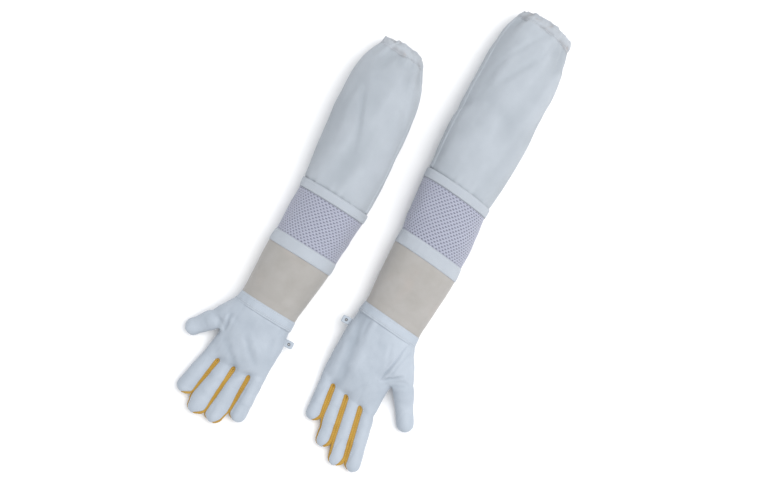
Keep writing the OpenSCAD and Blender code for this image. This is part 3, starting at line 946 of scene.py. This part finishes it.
# Soft creases on the side that shows, from the middle of the hem: (u, v) to (u, v) in millimetres with
# u towards the thumb and v towards the finger tips, then width and depth
CREASES = {
    "right": [
        ((38, 26), (36, 47), 2.6, 1.6), ((48, 42), (42, 58), 2.8, 1.3), ((27, 60), (-3, 86), 5.0, 1.2),
        ((2, 42), (-25, 68), 4.5, 1.2), ((-10, 96), (-44, 80), 3.5, 0.9), ((24, 30), (46, 22), 3.5, 0.5),
        ((-30, 22), (-38, 44), 4.0, 0.6),
    ],
    "left": [
        ((-38, 6), (-14, 104), 8.0, 2.4), ((-28, 4), (-22, 30), 3.5, 0.9), ((38, 8), (34, 68), 1.6, 1.9),
        ((47, 12), (41, 64), 1.5, 0.8), ((38, 66), (56, 48), 2.2, 1.5), ((52, 68), (66, 58), 2.2, 1.0),
        ((20, 20), (30, 44), 3.0, 0.6), ((-44, 40), (-36, 86), 5.0, 0.8),
    ],
}
# Which side's gusset goes on round a finger's tip: that of the finger that ends first
CARRIED = {"right": "far", "left": "near"}


def section(centre, across, half, height, angle, lift=0.0):
    """Points on an oval that is flat where it rests, at angles round it."""
    sine = np.sin(angle)
    rise = lift + np.maximum(0.45 * height + np.where(sine > 0, 0.55, 0.5) * height * sine, 0)
    return centre + (half * np.cos(angle))[:, None] * across + rise[:, None] * UP


def digit_angles(low, high):
    """The angles of a digit's ring: over the top from low to high, down the far side, under it, and up
    the near side."""
    low, high = math.radians(low), math.radians(high)
    turn = 2 * math.pi
    return np.concatenate([
        np.linspace(low, high, TOP + 1),
        np.linspace(high, turn - high, SIDE + 1)[1:-1],
        np.linspace(turn - high, turn - low, TOP + 1),
        np.linspace(turn - low, turn + low, SIDE + 1)[1:-1],
    ])


def even_arc(centre, across, half, height, sign, edge):
    """Points at even distances over the top of a hand's section, from the angle edge on the thumb side,
    or under it where sign is -1."""
    angle = sign * np.linspace(edge, math.radians(168), 200)
    points = section(centre, across, half, height, angle)
    length = np.concatenate([[0], np.cumsum(np.linalg.norm(np.diff(points, axis=0), axis=1))])
    wanted = np.linspace(0, length[-1], LINE + 1)
    return section(centre, across, half, height, np.interp(wanted, length, angle))


class Cage:
    """Points and tagged quads that a subdivision surface makes smooth."""

    def __init__(self):
        self.points = []
        self.faces = []
        self.tags = []

    def ring(self, points):
        first = len(self.points)
        self.points.extend(points)
        return list(range(first, first + len(points)))

    def skin(self, first, second, tags):
        """Quads between two rings; a quad with no tag is left open."""
        for k, tag in enumerate(tags):
            if tag:
                after = (k + 1) % len(first)
                self.faces.append((first[k], first[after], second[after], second[k]))
                self.tags.append(tag)

    def subdivided(self, tags):
        """The points and quads of the smooth surface, and the tag number of each quad."""
        mesh = bpy.data.meshes.new("cage")
        used = sorted({k for face in self.faces for k in face})
        number = {k: i for i, k in enumerate(used)}
        mesh.from_pydata([self.points[k] for k in used], [], [[number[k] for k in f] for f in self.faces])
        mesh.polygons.foreach_set("material_index", [tags.index(tag) for tag in self.tags])
        for tag in tags:
            mesh.materials.append(None)
        body = bpy.data.objects.new("cage", mesh)
        bpy.context.scene.collection.objects.link(body)
        modifier = body.modifiers.new("smooth", "SUBSURF")
        modifier.levels = 2
        smoothed = body.evaluated_get(bpy.context.evaluated_depsgraph_get()).to_mesh()
        points = np.array([v.co for v in smoothed.vertices])
        faces = np.array([p.vertices[:] for p in smoothed.polygons])
        tag = np.array([p.material_index for p in smoothed.polygons])
        bpy.data.objects.remove(body)
        return points, faces, tag


def smoothstep(share):
    """An even start and end from 0 to 1."""
    share = np.clip(share, 0, 1)
    return share * share * (3 - 2 * share)


def raise_gusset(ring, places, share, height):
    """Lifts a gusset's middle towards the leather's edge: places are the edge and the points below it."""
    edge = ring[places[0], 2]
    for place, drop, squash in zip(places[1:], (0.03, 0.08, 0.08), (1, 1, 0.6)):
        wanted = (edge - drop * height) * squash
        ring[place, 2] += (wanted - ring[place, 2]) * share


class Digit:
    """Where a finger or the thumb lies, and its outline, measured on its nodes."""

    def __init__(self, glove, name, parts):
        self.name = name
        axis = np.array(joints[f"{glove.side}_{name}_flex"]["axis"])
        self.across = axis * np.sign(axis @ glove.across)
        self.heading = np.cross(UP, self.across)
        self.heading = self.heading * -np.sign(self.heading @ glove.along)
        self.pivot = glove.pivot(name + "_flex")
        self.root = self.pivot * (1, 1, 0)
        names = glove.nodes(*[f"{name}_{part}" for part in parts])
        start = self.root @ self.heading
        self.length = span(names, self.heading)[1] - start
        # Clear of the root, where the neighbours are, and of the round tip
        self.s = np.linspace(11.5 * MM, self.length - 16 * MM, 12)
        little, thumb, _, top = outline_of(names, self.heading, self.across, start + self.s)
        self.half = (thumb - little) / 2
        self.side = (thumb + little) / 2 - self.root @ self.across
        self.top = top
        # How far the root is lifted off the floor
        self.rise = 0.0

    def narrow(self, s):
        """How wide the round tip is at s, as a share of the digit's width."""
        left = np.clip((self.length - s) / (2 * self.half[-1]), 0, 0.5)
        return (1 - (1 - 2 * left) ** 2.4) ** (1 / 2.4)

    def gap_to(self, other, s, sign):
        """The gap between the straight sides of this digit at s and of its neighbour, and how much of the
        neighbour is left there."""
        reach = np.interp(s, self.s, self.side) + sign * np.interp(s, self.s, self.half)
        point = self.root + self.heading * s + self.across * reach - other.root
        t = point @ other.heading
        edge = np.interp(t, other.s, other.side) - sign * np.interp(t, other.s, other.half)
        return sign * (edge - point @ other.across), other.narrow(t) if t < other.length else 0.0

    def rings(self, first_across, sides_at):
        """The cage rings, from just after the root to the tip. sides_at gives the angles of the top at a
        place, and for each side how far it is pushed out and how much of its gusset is raised."""
        width = 2 * self.half[-1]
        count = max(3, int((self.length - 0.62 * width) / RING_STEP))
        straight = np.linspace(0, self.length - 0.62 * width, count + 1)[1:]
        straight = np.insert(straight, 0, 0.3 * straight[0])
        tip = [self.length - step * width for step in TIP_STEPS]
        found = []
        for s in np.concatenate([straight, tip]):
            narrow = self.narrow(s)
            half = np.interp(s, self.s, self.half)
            top = np.interp(s, self.s, self.top)
            height = top * (0.38 + 0.62 * narrow)
            turn = np.clip(s / (2 * RING_STEP), 0, 1)
            across = unit(first_across * (1 - turn) + self.across * turn)
            centre = self.root + self.heading * s + self.across * np.interp(s, self.s, self.side)
            low, high, near, far = sides_at(s)
            angles = digit_angles(low, high)
            ring = section(centre, across, half * narrow, height, angles, 0.45 * (top - height))
            cosine = np.cos(angles)
            share = np.clip(np.abs(cosine) / 0.25 - 3, 0, 1) ** 0.5
            ring += (share * np.where(cosine > 0, near[0], -far[0]))[:, None] * across
            end = len(ring)
            raise_gusset(ring, (0, end - 1, end - 2, end - 3), near[1], height)
            raise_gusset(ring, (TOP, TOP + 1, TOP + 2, TOP + 3), far[1], height)
            root = smoothstep(1 - s / (0.6 * self.length))
            found.append(ring + self.rise * root * UP)
        return found


def finger_tags(j):
    """The leather that each quad round a finger belongs to."""
    name = FINGERS[j]
    gusset = [name + "_fourchette"] * SIDE
    split = [name + "_front"] * (SIDE // 2) + [name + "_back"] * (SIDE // 2)
    far = gusset if j < len(FINGERS) - 1 else split
    near = gusset if j > 0 else split[::-1]
    return [name + "_front"] * TOP + far + [name + "_back"] * TOP + near


def finger_sides(side, fingers, j):
    """A function of the place along a finger: the angles where its top ends, and how far each gusset
    bulges out to meet the next finger's."""
    finger = fingers[j]

    def one(s, neighbour, sign, carried):
        if not 0 <= neighbour < len(fingers):
            return PLAIN, (0.0, 0.0)
        gap, left = finger.gap_to(fingers[neighbour], s, sign)
        half = np.interp(s, finger.s, finger.half)
        reach = np.clip(gap / 2 + MEETING, -1.5 * MM, 5.5 * MM)
        edge = math.degrees(math.acos(np.clip((half + reach - STRIPE[side]) / half, 0.72, 0.955)))
        end = 74 if carried else 20
        to_tip = np.clip((s / finger.length - 0.84) / 0.16, 0, 1)
        beside = min(left, finger.narrow(s)) ** 2
        return edge + (end - edge) * to_tip, (reach * beside, beside)

    def sides(s):
        low, near = one(s, j - 1, 1, CARRIED[side] == "near")
        high, far = one(s, j + 1, -1, CARRIED[side] == "far")
        return low, 180 - high, near, far
    return sides


def share_at(point, start, way, across, line):
    """Which row of a hand goes through a point, as a share of the way from the hem to the knuckles. The
    rows turn from across to line on the way."""
    shares = np.linspace(0, 1, 500)[:, None]
    normals = np.cross(UP, across * (1 - shares) + line * shares)
    off = ((point - start - way * shares) * normals).sum(1)
    return shares[np.argmin(np.abs(off)), 0]


def hand_cage(glove):
    """The hand from the hem to the knuckles with its four fingers and its thumb."""
    cage = Cage()
    fingers = [Digit(glove, name, ("front", "back", "fourchette")) for name in FINGERS]
    thumb = Digit(glove, "thumb", ("front", "back"))
    hem = glove.span("wrist_hem")[0] + HEM_LAP
    middle = (np.interp(hem, glove.s, glove.little_edge) + np.interp(hem, glove.s, glove.thumb_edge)) / 2
    start = glove.along * hem + glove.across * middle
    line = unit(fingers[0].root - fingers[-1].root)
    end = (fingers[0].root + line * fingers[0].half[0] + fingers[-1].root - line * fingers[-1].half[0]) / 2
    way = end - start

    # Rows: up to the thumb, beside the thumb, and on to the knuckles
    spread = thumb.across * thumb.half[0]
    first, last = (
        share_at(thumb.root + spread * k, start, way, glove.across, line) for k in (0.98, -0.9)
    )
    length = np.linalg.norm(way)
    before = max(2, int(round(first * length / PALM_STEP)))
    after = max(2, int(round((1 - last) * length / PALM_STEP)))
    shares = np.concatenate([
        np.linspace(0, first, before + 1), np.linspace(first, last, TOP + 1)[1:],
        np.linspace(last, 1, after + 1)[1:],
    ])
    panels = glove.nodes("palm_panel", "back_panel")
    outline = []
    for share in shares:
        across = unit(glove.across * (1 - share) + line * share)
        normal = unit(np.cross(UP, across))
        point = start + way * np.clip(share, 0.012 + HEM_LAP / length, 0.985)
        cut_points = cut(panels, point, normal)
        sideways = (cut_points - point) @ across
        outline.append([sideways.min(), sideways.max(), cut_points[:, 2].max()])
    outline = np.array(outline)

    rows = []
    far_angles = np.radians([174, 180, 186])
    for k, (share, (little, thumb_side, height)) in enumerate(zip(shares[:-1], outline[:-1])):
        from_mouth = max(before - k, k - before - TOP, 0)
        edge = math.radians(12 + 22 / (1 + from_mouth))
        across = unit(glove.across * (1 - share) + line * share)
        centre = start + way * share + across * (little + thumb_side) / 2
        half = (thumb_side - little) / 2
        rows.append(cage.ring(np.vstack([
            even_arc(centre, across, half, height, 1, edge),
            section(centre, across, half, height, far_angles),
            even_arc(centre, across, half, height, -1, edge)[::-1],
            section(centre, across, half, height, np.linspace(-edge, edge, SIDE + 1)[1:-1]),
        ])))
    rows.append(cage.ring(knuckle_ring(fingers, line)))

    palm = ["palm"] * LINE + ["palm"] * (SIDE // 2) + ["back"] * (SIDE // 2)
    around = palm + ["back"] * LINE + ["back"] * (SIDE // 2) + ["palm"] * (SIDE // 2)
    beside_thumb = around[:-SIDE] + [None] * SIDE
    for k in range(len(rows) - 1):
        inside = before <= k < before + TOP
        cage.skin(rows[k], rows[k + 1], beside_thumb if inside else around)

    add_thumb(cage, thumb, rows, before)
    add_fingers(cage, glove, fingers, rows[-1], line)
    return cage, start, fingers, thumb


def knuckle_ring(fingers, line):
    """The hand's last ring: an arch over each finger, and a low point between neighbours."""
    angle = np.radians(np.linspace(GUSSET, 180 - GUSSET, TOP + 1))
    tops, bottoms = [], []
    for j, finger in enumerate(fingers):
        half, height = finger.half[0], finger.top[0] * 1.04
        low = math.radians(PLAIN) if j == 0 else angle[0]
        high = math.radians(180 - PLAIN) if j == len(fingers) - 1 else angle[-1]
        over = np.linspace(low, high, TOP + 1)
        tops.append(section(finger.root, line, half, height, over))
        bottoms.append(section(finger.root, line, half, height, -over))
    top, bottom = [tops[0][0]], [bottoms[0][0]]
    for j in range(len(fingers)):
        for row, side in ((top, tops), (bottom, bottoms)):
            row.extend(side[j][1:-1])
            last = j == len(fingers) - 1
            row.append(side[j][-1] if last else (side[j][-1] + side[j + 1][0]) / 2)
    far_angles = np.radians([165, 180, 195])
    little, index = fingers[-1], fingers[0]
    far = section(little.root, line, little.half[0], little.top[0], far_angles)
    near = section(index.root, line, index.half[0], index.top[0], far_angles + math.pi)
    return np.vstack([top, far, bottom[::-1], near])


def add_fingers(cage, glove, fingers, knuckles, line):
    """Each finger grows from its share of the knuckles and from the webs beside it."""
    total = 2 * (LINE + 1) + 2 * (SIDE - 1)
    webs = [knuckles[total - (SIDE - 1):]]
    for j in range(len(fingers) - 1):
        top = np.array(cage.points[knuckles[TOP * (j + 1)]])
        bottom = np.array(cage.points[knuckles[total - SIDE - TOP * (j + 1)]])
        ahead = (fingers[j].heading + fingers[j + 1].heading) / 2 * 3.5 * MM
        shares = np.linspace(0, 1, SIDE + 1)[1:-1]
        web = [bottom * (1 - k) + top * k + ahead * math.sin(math.pi * k) for k in shares]
        webs.append(cage.ring(web))
    webs.append(knuckles[LINE + 1:LINE + SIDE][::-1])
    for j, finger in enumerate(fingers):
        over = knuckles[TOP * j:TOP * (j + 1) + 1]
        under_first = total - SIDE - TOP * (j + 1)
        under = knuckles[under_first:under_first + TOP + 1]
        before = over + webs[j + 1][::-1] + under + webs[j]
        grow(cage, before, finger, line, finger_sides(glove.side, fingers, j), finger_tags(j))


def plain_sides(s):
    """The sides of a digit that has no gussets."""
    return PLAIN, 180 - PLAIN, (0.0, 0.0), (0.0, 0.0)


def add_thumb(cage, thumb, rows, before):
    """The thumb grows from the opening in the hand's side."""
    opening = rows[before:before + TOP + 1]
    near = slice(-(SIDE - 1), None)
    under = 2 * (LINE + 1) + SIDE - 2
    ring = [row[0] for row in opening] + opening[-1][near][::-1]
    ring += [row[under] for row in opening[::-1]] + opening[0][near]
    opening_z = np.mean([cage.points[k][2] for k in ring])
    thumb.rise = opening_z - 0.45 * thumb.top[0]
    split = ["thumb_front"] * (SIDE // 2) + ["thumb_back"] * (SIDE // 2)
    tags = ["thumb_front"] * TOP + split + ["thumb_back"] * TOP + split[::-1]
    grow(cage, ring, thumb, thumb.across, plain_sides, tags)


def grow(cage, ring, digit, first_across, sides, tags):
    """Rings of quads from a root ring to a digit's tip, which a small cap closes."""
    for points in digit.rings(first_across, sides):
        after = cage.ring(points)
        cage.skin(ring, after, tags)
        ring = after
    over, side = ring[:TOP + 1], ring[TOP + 1:TOP + SIDE]
    under, near = ring[TOP + SIDE:2 * TOP + SIDE + 1][::-1], ring[2 * TOP + SIDE + 1:][::-1]
    columns = [over[0]] + near + [under[0]]
    grid = [columns]
    for k in range(1, TOP):
        points = np.linspace(cage.points[over[k]], cage.points[under[k]], SIDE + 1)[1:-1]
        points = points + digit.heading * 0.5 * MM
        grid.append([over[k]] + cage.ring(points) + [under[k]])
    grid.append([over[-1]] + side + [under[-1]])
    for k in range(TOP):
        for row in range(SIDE):
            tag = digit.name + ("_front" if row < SIDE // 2 else "_back")
            cage.faces.append((grid[k][row], grid[k + 1][row], grid[k + 1][row + 1], grid[k][row + 1]))
            cage.tags.append(tag)


def nearest_distance(points, targets):
    """How far each point is from the nearest target."""
    tree = BVHTree.FromPolygons([Vector(t) for t in targets], [(k, k, k) for k in range(len(targets))])
    found = []
    for point in points:
        found.append(tree.find_nearest(point)[3])
    return np.array(found)


def crease(places, start, end, width, depth):
    """A soft valley with low lips along a line, fading at both ends."""
    start, end = np.array(start, float) * MM, np.array(end, float) * MM
    run = end - start
    share = np.clip(((places - start) @ run) / (run @ run), 0, 1)
    off = np.linalg.norm(places - start - share[:, None] * run, axis=1) / (width * MM)
    fade = np.clip(np.sin(math.pi * (0.08 + 0.84 * share)), 0, 1) ** 0.5
    return MM * depth * fade * (0.4 * np.exp(-(off - 1.9) ** 2) - np.exp(-off ** 2))


def hand_lift(glove, points, normals, faces, tag, tags, start, fingers, thumb, seam):
    """How far each point of a hand is pushed out: creases, puckers by the seams, and soft crumples."""
    seed = 91 + GLOVES.index(glove.side)
    local = glove.local(points)
    places = np.stack([(points - start) @ glove.across, -((points - start) @ glove.along)], 1)
    upward = np.clip(normals @ UP * 1.6, 0, 1)
    lift = MM * (0.55 * noise(local, 0.021, seed) + 0.3 * noise(local, 0.009, seed + 1))
    lift += MM * 0.35 * ridges(local, (0.013, 0.03, 0.02), seed + 2)
    for start_at, end_at, width, depth in CREASES[glove.side]:
        wobble = 1.2 * MM * np.stack([noise(local, 0.012, seed + 4), noise(local, 0.012, seed + 5)], 1)
        lift += crease(places + wobble, start_at, end_at, width, depth) * upward
    from_hem = places[:, 1]
    gathers = 0.8 * noise(local, (0.008, 0.03, 0.008), seed + 6)
    lift += MM * gathers * np.exp(-np.maximum(from_hem, 0) / 0.012)
    for digit in fingers + [thumb]:
        mine = np.zeros(len(points), bool)
        for number, name in enumerate(tags):
            if name.startswith(digit.name):
                mine[faces[tag == number].ravel()] = True
        along = (points[mine] - digit.root) @ digit.heading / digit.length
        bend = 0.0
        for share, depth in ((0.3, 0.8), (0.36, 0.5), (0.6, 0.8), (0.65, 0.5)):
            bow = share + 0.012 * noise(local[mine], 0.01, seed + 8)
            bend = bend - depth * np.exp(-((along - bow) * digit.length / (1.7 * MM)) ** 2)
        lift[mine] += MM * bend * (0.36 + 0.44 * noise(local[mine], 0.012, seed + 9))
    pucker = np.exp(-(seam / (3.5 * MM)) ** 2) * noise(local, 0.0032, seed + 10)
    lift += MM * (0.28 * pucker - 0.7 * np.exp(-(seam / (1.3 * MM)) ** 2))
    tucked = np.clip(1.6 - from_hem / HEM_LAP, 0, 1)
    return lift * (1 - tucked) - 0.7 * MM * tucked


def chains(faces, groups):
    """The lines of points between quads of different groups, each in order."""
    n = faces.max() + 1
    a, b = faces.ravel(), np.roll(faces, -1, axis=1).ravel()
    owner = np.repeat(groups, 4)
    key = np.minimum(a, b) * n + np.maximum(a, b)
    order = np.argsort(key, kind="stable")
    same = key[order][1:] == key[order][:-1]
    differ = owner[order][1:] != owner[order][:-1]
    edges = order[:-1][same & differ]
    links = {}
    for p, q in zip(a[edges].tolist(), b[edges].tolist()):
        links.setdefault(p, []).append(q)
        links.setdefault(q, []).append(p)
    found, seen = [], set()
    for start in sorted(links, key=lambda p: (len(links[p]) == 2, p)):
        for step in links[start]:
            if (start, step) in seen:
                continue
            chain = [start, step]
            seen.update({(start, step), (step, start)})
            while len(links[chain[-1]]) == 2:
                onward = [p for p in links[chain[-1]] if (chain[-1], p) not in seen]
                if not onward:
                    break
                seen.update({(chain[-1], onward[0]), (onward[0], chain[-1])})
                chain.append(onward[0])
            found.append(chain)
    return found


def seam_threads(points, faces, normals, groups, tag, distance):
    """A row of threads beside each seam, on its leather side, for each tag that it lies on."""
    surface = BVHTree.FromPolygons([Vector(p) for p in points], faces.tolist())
    made = {}
    for chain in chains(faces, groups):
        if len(chain) < 6:
            continue
        line, up = points[chain], normals[chain]
        ahead = np.gradient(line, axis=0)
        side = np.cross(up, ahead)
        side /= np.linalg.norm(side, axis=1, keepdims=True) + 1e-12
        for sign in (-1, 1):
            hits = [surface.find_nearest(Vector(p)) for p in line + sign * side * distance]
            over = np.array([tag[hit[2]] for hit in hits])
            placed = np.array([hit[0] for hit in hits])
            outward = normals[faces[[hit[2] for hit in hits], 0]]
            for number in np.unique(over):
                mine = over == number
                run = np.flatnonzero(np.diff(np.concatenate([[0], mine.astype(int), [0]])))
                for first, last in zip(run[::2], run[1::2]):
                    if last - first > 4:
                        row = stitches(placed[first:last], outward[first:last])
                        made.setdefault(int(number), []).append(row)
    return made


def bend_at_root(piece):
    """The piece's place is baked into its points."""
    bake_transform(piece)


def panel(glove, name, cloth, digit):
    """One leather panel of the hand, or of a digit."""
    node = name + "_panel" if digit is None else name
    if name.endswith("fourchette"):
        piece = standing_for(
            glove, node, name + "_leather", cloth, [YELLOW, YELLOW_THREAD]
        )
    else:
        piece = standing_for(glove, node, name + "_leather", cloth, [WHITE, THREAD])
    if digit is None:
        bend_at_wrist(piece, glove)
    else:
        bend_at_root(piece)


def hand(glove):
    """The leather hand: its panels share their edges, and each is a piece of its own."""
    tags = ["palm", "back", "thumb_front", "thumb_back"]
    tags += [f"{finger}_{part}" for finger in FINGERS for part in ("front", "back", "fourchette")]
    cage, start, fingers, thumb = hand_cage(glove)
    points, faces, tag = cage.subdivided(tags)
    faces = facing_out(points, faces)
    kinds = [2 if name.endswith("fourchette") else 1 if name.endswith("back") else 0 for name in tags]
    groups = np.array(kinds)[tag]
    edge_points = sorted({p for chain in chains(faces, groups) for p in chain})
    seam = nearest_distance(points, points[edge_points])
    normals = point_normals(points, faces)
    lift = hand_lift(glove, points, normals, faces, tag, tags, start, fingers, thumb, seam)
    moved = points + normals * lift[:, None]
    moved[:, 2] = np.maximum(moved[:, 2], FLOOR_GAP)
    normals = point_normals(moved, faces)
    # Painted shade: darker in the creases and valleys, and along the seams.
    seam_shade = np.exp(-(seam / (0.9 * MM)) ** 2)
    tone = 0.42 * np.clip(-lift / (1.6 * MM), 0, 1) + 0.25 * seam_shade
    threads_on = seam_threads(moved, faces, normals, groups, tag, 2.1 * MM)
    digits = {digit.name: digit for digit in fingers + [thumb]}
    for number, name in enumerate(tags):
        mine = faces[tag == number]
        used, index = np.unique(mine, return_inverse=True)
        index = index.reshape(mine.shape)
        place = glove.local(moved[used])[:, :2]
        cloth = shell(
            moved[used], index, corner_uv(place, index), LEATHER_T, tone[used], normals[used]
        )
        cloth.joined(*threads_on.get(number, []))
        digit = digits.get(name.split("_")[0])
        heading = glove.along if digit is None else digit.heading
        cloth.flat, cloth.area = flat_panel(points, mine, heading)
        panel(glove, name, cloth, digit)


def thread_ring(centre, radius, thickness):
    """A ring of thread that lies flat, a little uneven from its wraps."""
    rows, columns, wraps = 28, 10, 9
    turn = np.linspace(0, 2 * math.pi, rows, endpoint=False)[:, None]
    round_it = np.linspace(0, 2 * math.pi, columns, endpoint=False)[None, :]
    reach = radius + thickness * np.cos(round_it) * (1 + 0.15 * np.sin(wraps * turn))
    points = np.stack(np.broadcast_arrays(
        reach * np.cos(turn), reach * np.sin(turn), thickness * np.sin(round_it)
    ), -1).reshape(-1, 3) + centre
    faces = grid_faces(rows, columns, looped=True)
    return Cloth(points, facing_out(points, faces), np.zeros((len(faces), 4, 2)), slot=1)


def side_tab(glove):
    """A folded leather tab with an eye to hang the glove by. Painted shadow darkens the leather round the eye, and
    a near-black thread ring inside the eye stands in for the shadow in the hole.
    """
    low, high = (np.array(corner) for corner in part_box(glove.side + "_side_tab"))
    mount = next(m for m in frame["record"]["mounts"] if m["name"] == glove.side + "_hang_eye")
    eye = np.array(mount["pos_m"]) * (1, 1, 0)
    eye_r = 1.75 * MM
    centre, half = (low + high) / 2, (high - low) / 2
    columns = 48
    turn = np.linspace(0, 2 * math.pi, columns, endpoint=False)
    square = np.stack([np.cos(turn), np.sin(turn)], 1)
    outline = np.sign(square) * np.abs(square) ** 0.5 * half[:2] * 0.9 + centre[:2]
    root = np.array([np.sign(glove.across[0]), 0.0])
    sewn_in = np.clip((outline - centre[:2]) @ root / half[0], -0.5, 1)
    outline = outline + (sewn_in * 6 * MM)[:, None] * root
    hole = eye[:2] + square * eye_r
    rings, depth = [], half[2]
    for share in np.linspace(0, 1, 9):
        rise = depth * (1 - 0.45 * (2 * share - 1) ** 8)
        ring = hole * (1 - share) + outline * share
        rings.append(np.column_stack([ring, np.full(columns, centre[2] + rise)]))
    under = [ring * (1, 1, -1) + (0, 0, 2 * centre[2]) for ring in rings[::-1]]
    flat = np.vstack(rings + under)
    faces = facing_out(flat, grid_faces(2 * len(rings), columns, looped=True))
    # Painted shadow round the rim of the eye.
    tone = np.exp(-((np.linalg.norm(flat[:, :2] - eye[:2], axis=1) - eye_r) / (0.8 * MM)) ** 2)
    cloth = Cloth(flat, faces, corner_uv(flat[:, :2], faces), tone=tone)
    # A near-black thread ring inside the eye, standing in for the shadow in the hole.
    cloth.joined(thread_ring(np.array([*eye[:2], centre[2] + 0.5 * depth]), 1.35 * MM, 0.6 * MM))
    piece = standing_for(
        glove, "side_tab", "side_tab_leather", cloth, [WHITE, EYE_SHADOW_THREAD]
    )
    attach(piece, glove.side + "_hand")


# ---------------------------------------------------------------- the pair

for side in GLOVES:
    glove = Glove(side)
    felled_seam(glove)
    sleeve(glove)
    gathered_hem(glove)
    elastic(glove)
    band(glove, "upper_band", "sleeve")
    vent_mesh(glove)
    band(glove, "lower_band", "cuff")
    gauntlet(glove)
    wrist_hem(glove)
    hand(glove)
    side_tab(glove)


# ---------------------------------------------------------------- floor, light and camera

def floor():
    """A plain pale floor."""
    material, tree, shader = new_material("floor", (0.93, 0.93, 0.94), 0.9)
    mesh = bpy.data.meshes.new("floor")
    reach = 6
    corners = [(-reach, -reach, 0), (reach, -reach, 0), (reach, reach, 0), (-reach, reach, 0)]
    mesh.from_pydata(corners, [], [(0, 1, 2, 3)])
    mesh.materials.append(material)
    piece = bpy.data.objects.new("floor", mesh)
    bpy.context.scene.collection.objects.link(piece)


def area_light(name, place, target, size, watts, colour):
    """A square soft light that faces a target."""
    data = bpy.data.lights.new(name, "AREA")
    data.size = size
    data.energy = watts
    data.color = colour
    lamp = bpy.data.objects.new(name, data)
    lamp.location = place
    lamp.rotation_euler = (Vector(target) - Vector(place)).to_track_quat("-Z", "Y").to_euler()
    bpy.context.scene.collection.objects.link(lamp)


def world_light(strength):
    """Even, slightly cool light from all round."""
    world = bpy.data.worlds.new("studio")
    world.use_nodes = True
    world.node_tree.nodes["Background"].inputs[0].default_value = (0.97, 0.985, 1, 1)
    world.node_tree.nodes["Background"].inputs[1].default_value = strength
    bpy.context.scene.world = world


def camera():
    """Almost straight down, with the arms pointing up and to the right."""
    elevation, azimuth, roll = (math.radians(a) for a in (87.6, 5.1, 27.0))
    middle, size = (Vector(cad_low) + Vector(cad_high)) / 2, Vector(cad_high) - Vector(cad_low)
    target, distance = middle + Vector((19.2, -28.5, -7)) * MM, 2.62 * size.y
    back = Vector((
        math.sin(azimuth) * math.cos(elevation), -math.cos(azimuth) * math.cos(elevation),
        math.sin(elevation),
    ))
    right = Vector((0, 1, 0)).cross(back).normalized()
    up = back.cross(right)
    right, up = right * math.cos(roll) + up * math.sin(roll), up * math.cos(roll) - right * math.sin(roll)
    data = bpy.data.cameras.new("camera")
    data.sensor_width = 36
    data.lens = 63.35
    eye = bpy.data.objects.new("camera", data)
    eye.matrix_world = Matrix((
        (right.x, up.x, back.x, target.x + back.x * distance),
        (right.y, up.y, back.y, target.y + back.y * distance),
        (right.z, up.z, back.z, target.z + back.z * distance),
        (0, 0, 0, 1),
    ))
    bpy.context.scene.collection.objects.link(eye)
    bpy.context.scene.camera = eye


floor()
world_light(0.88)
area_light("key", (0.9, 0.45, 2.2), (0, 0, 0), 2.0, 48, (1, 0.99, 0.975))
camera()
bpy.context.scene.view_settings.view_transform = "Standard"
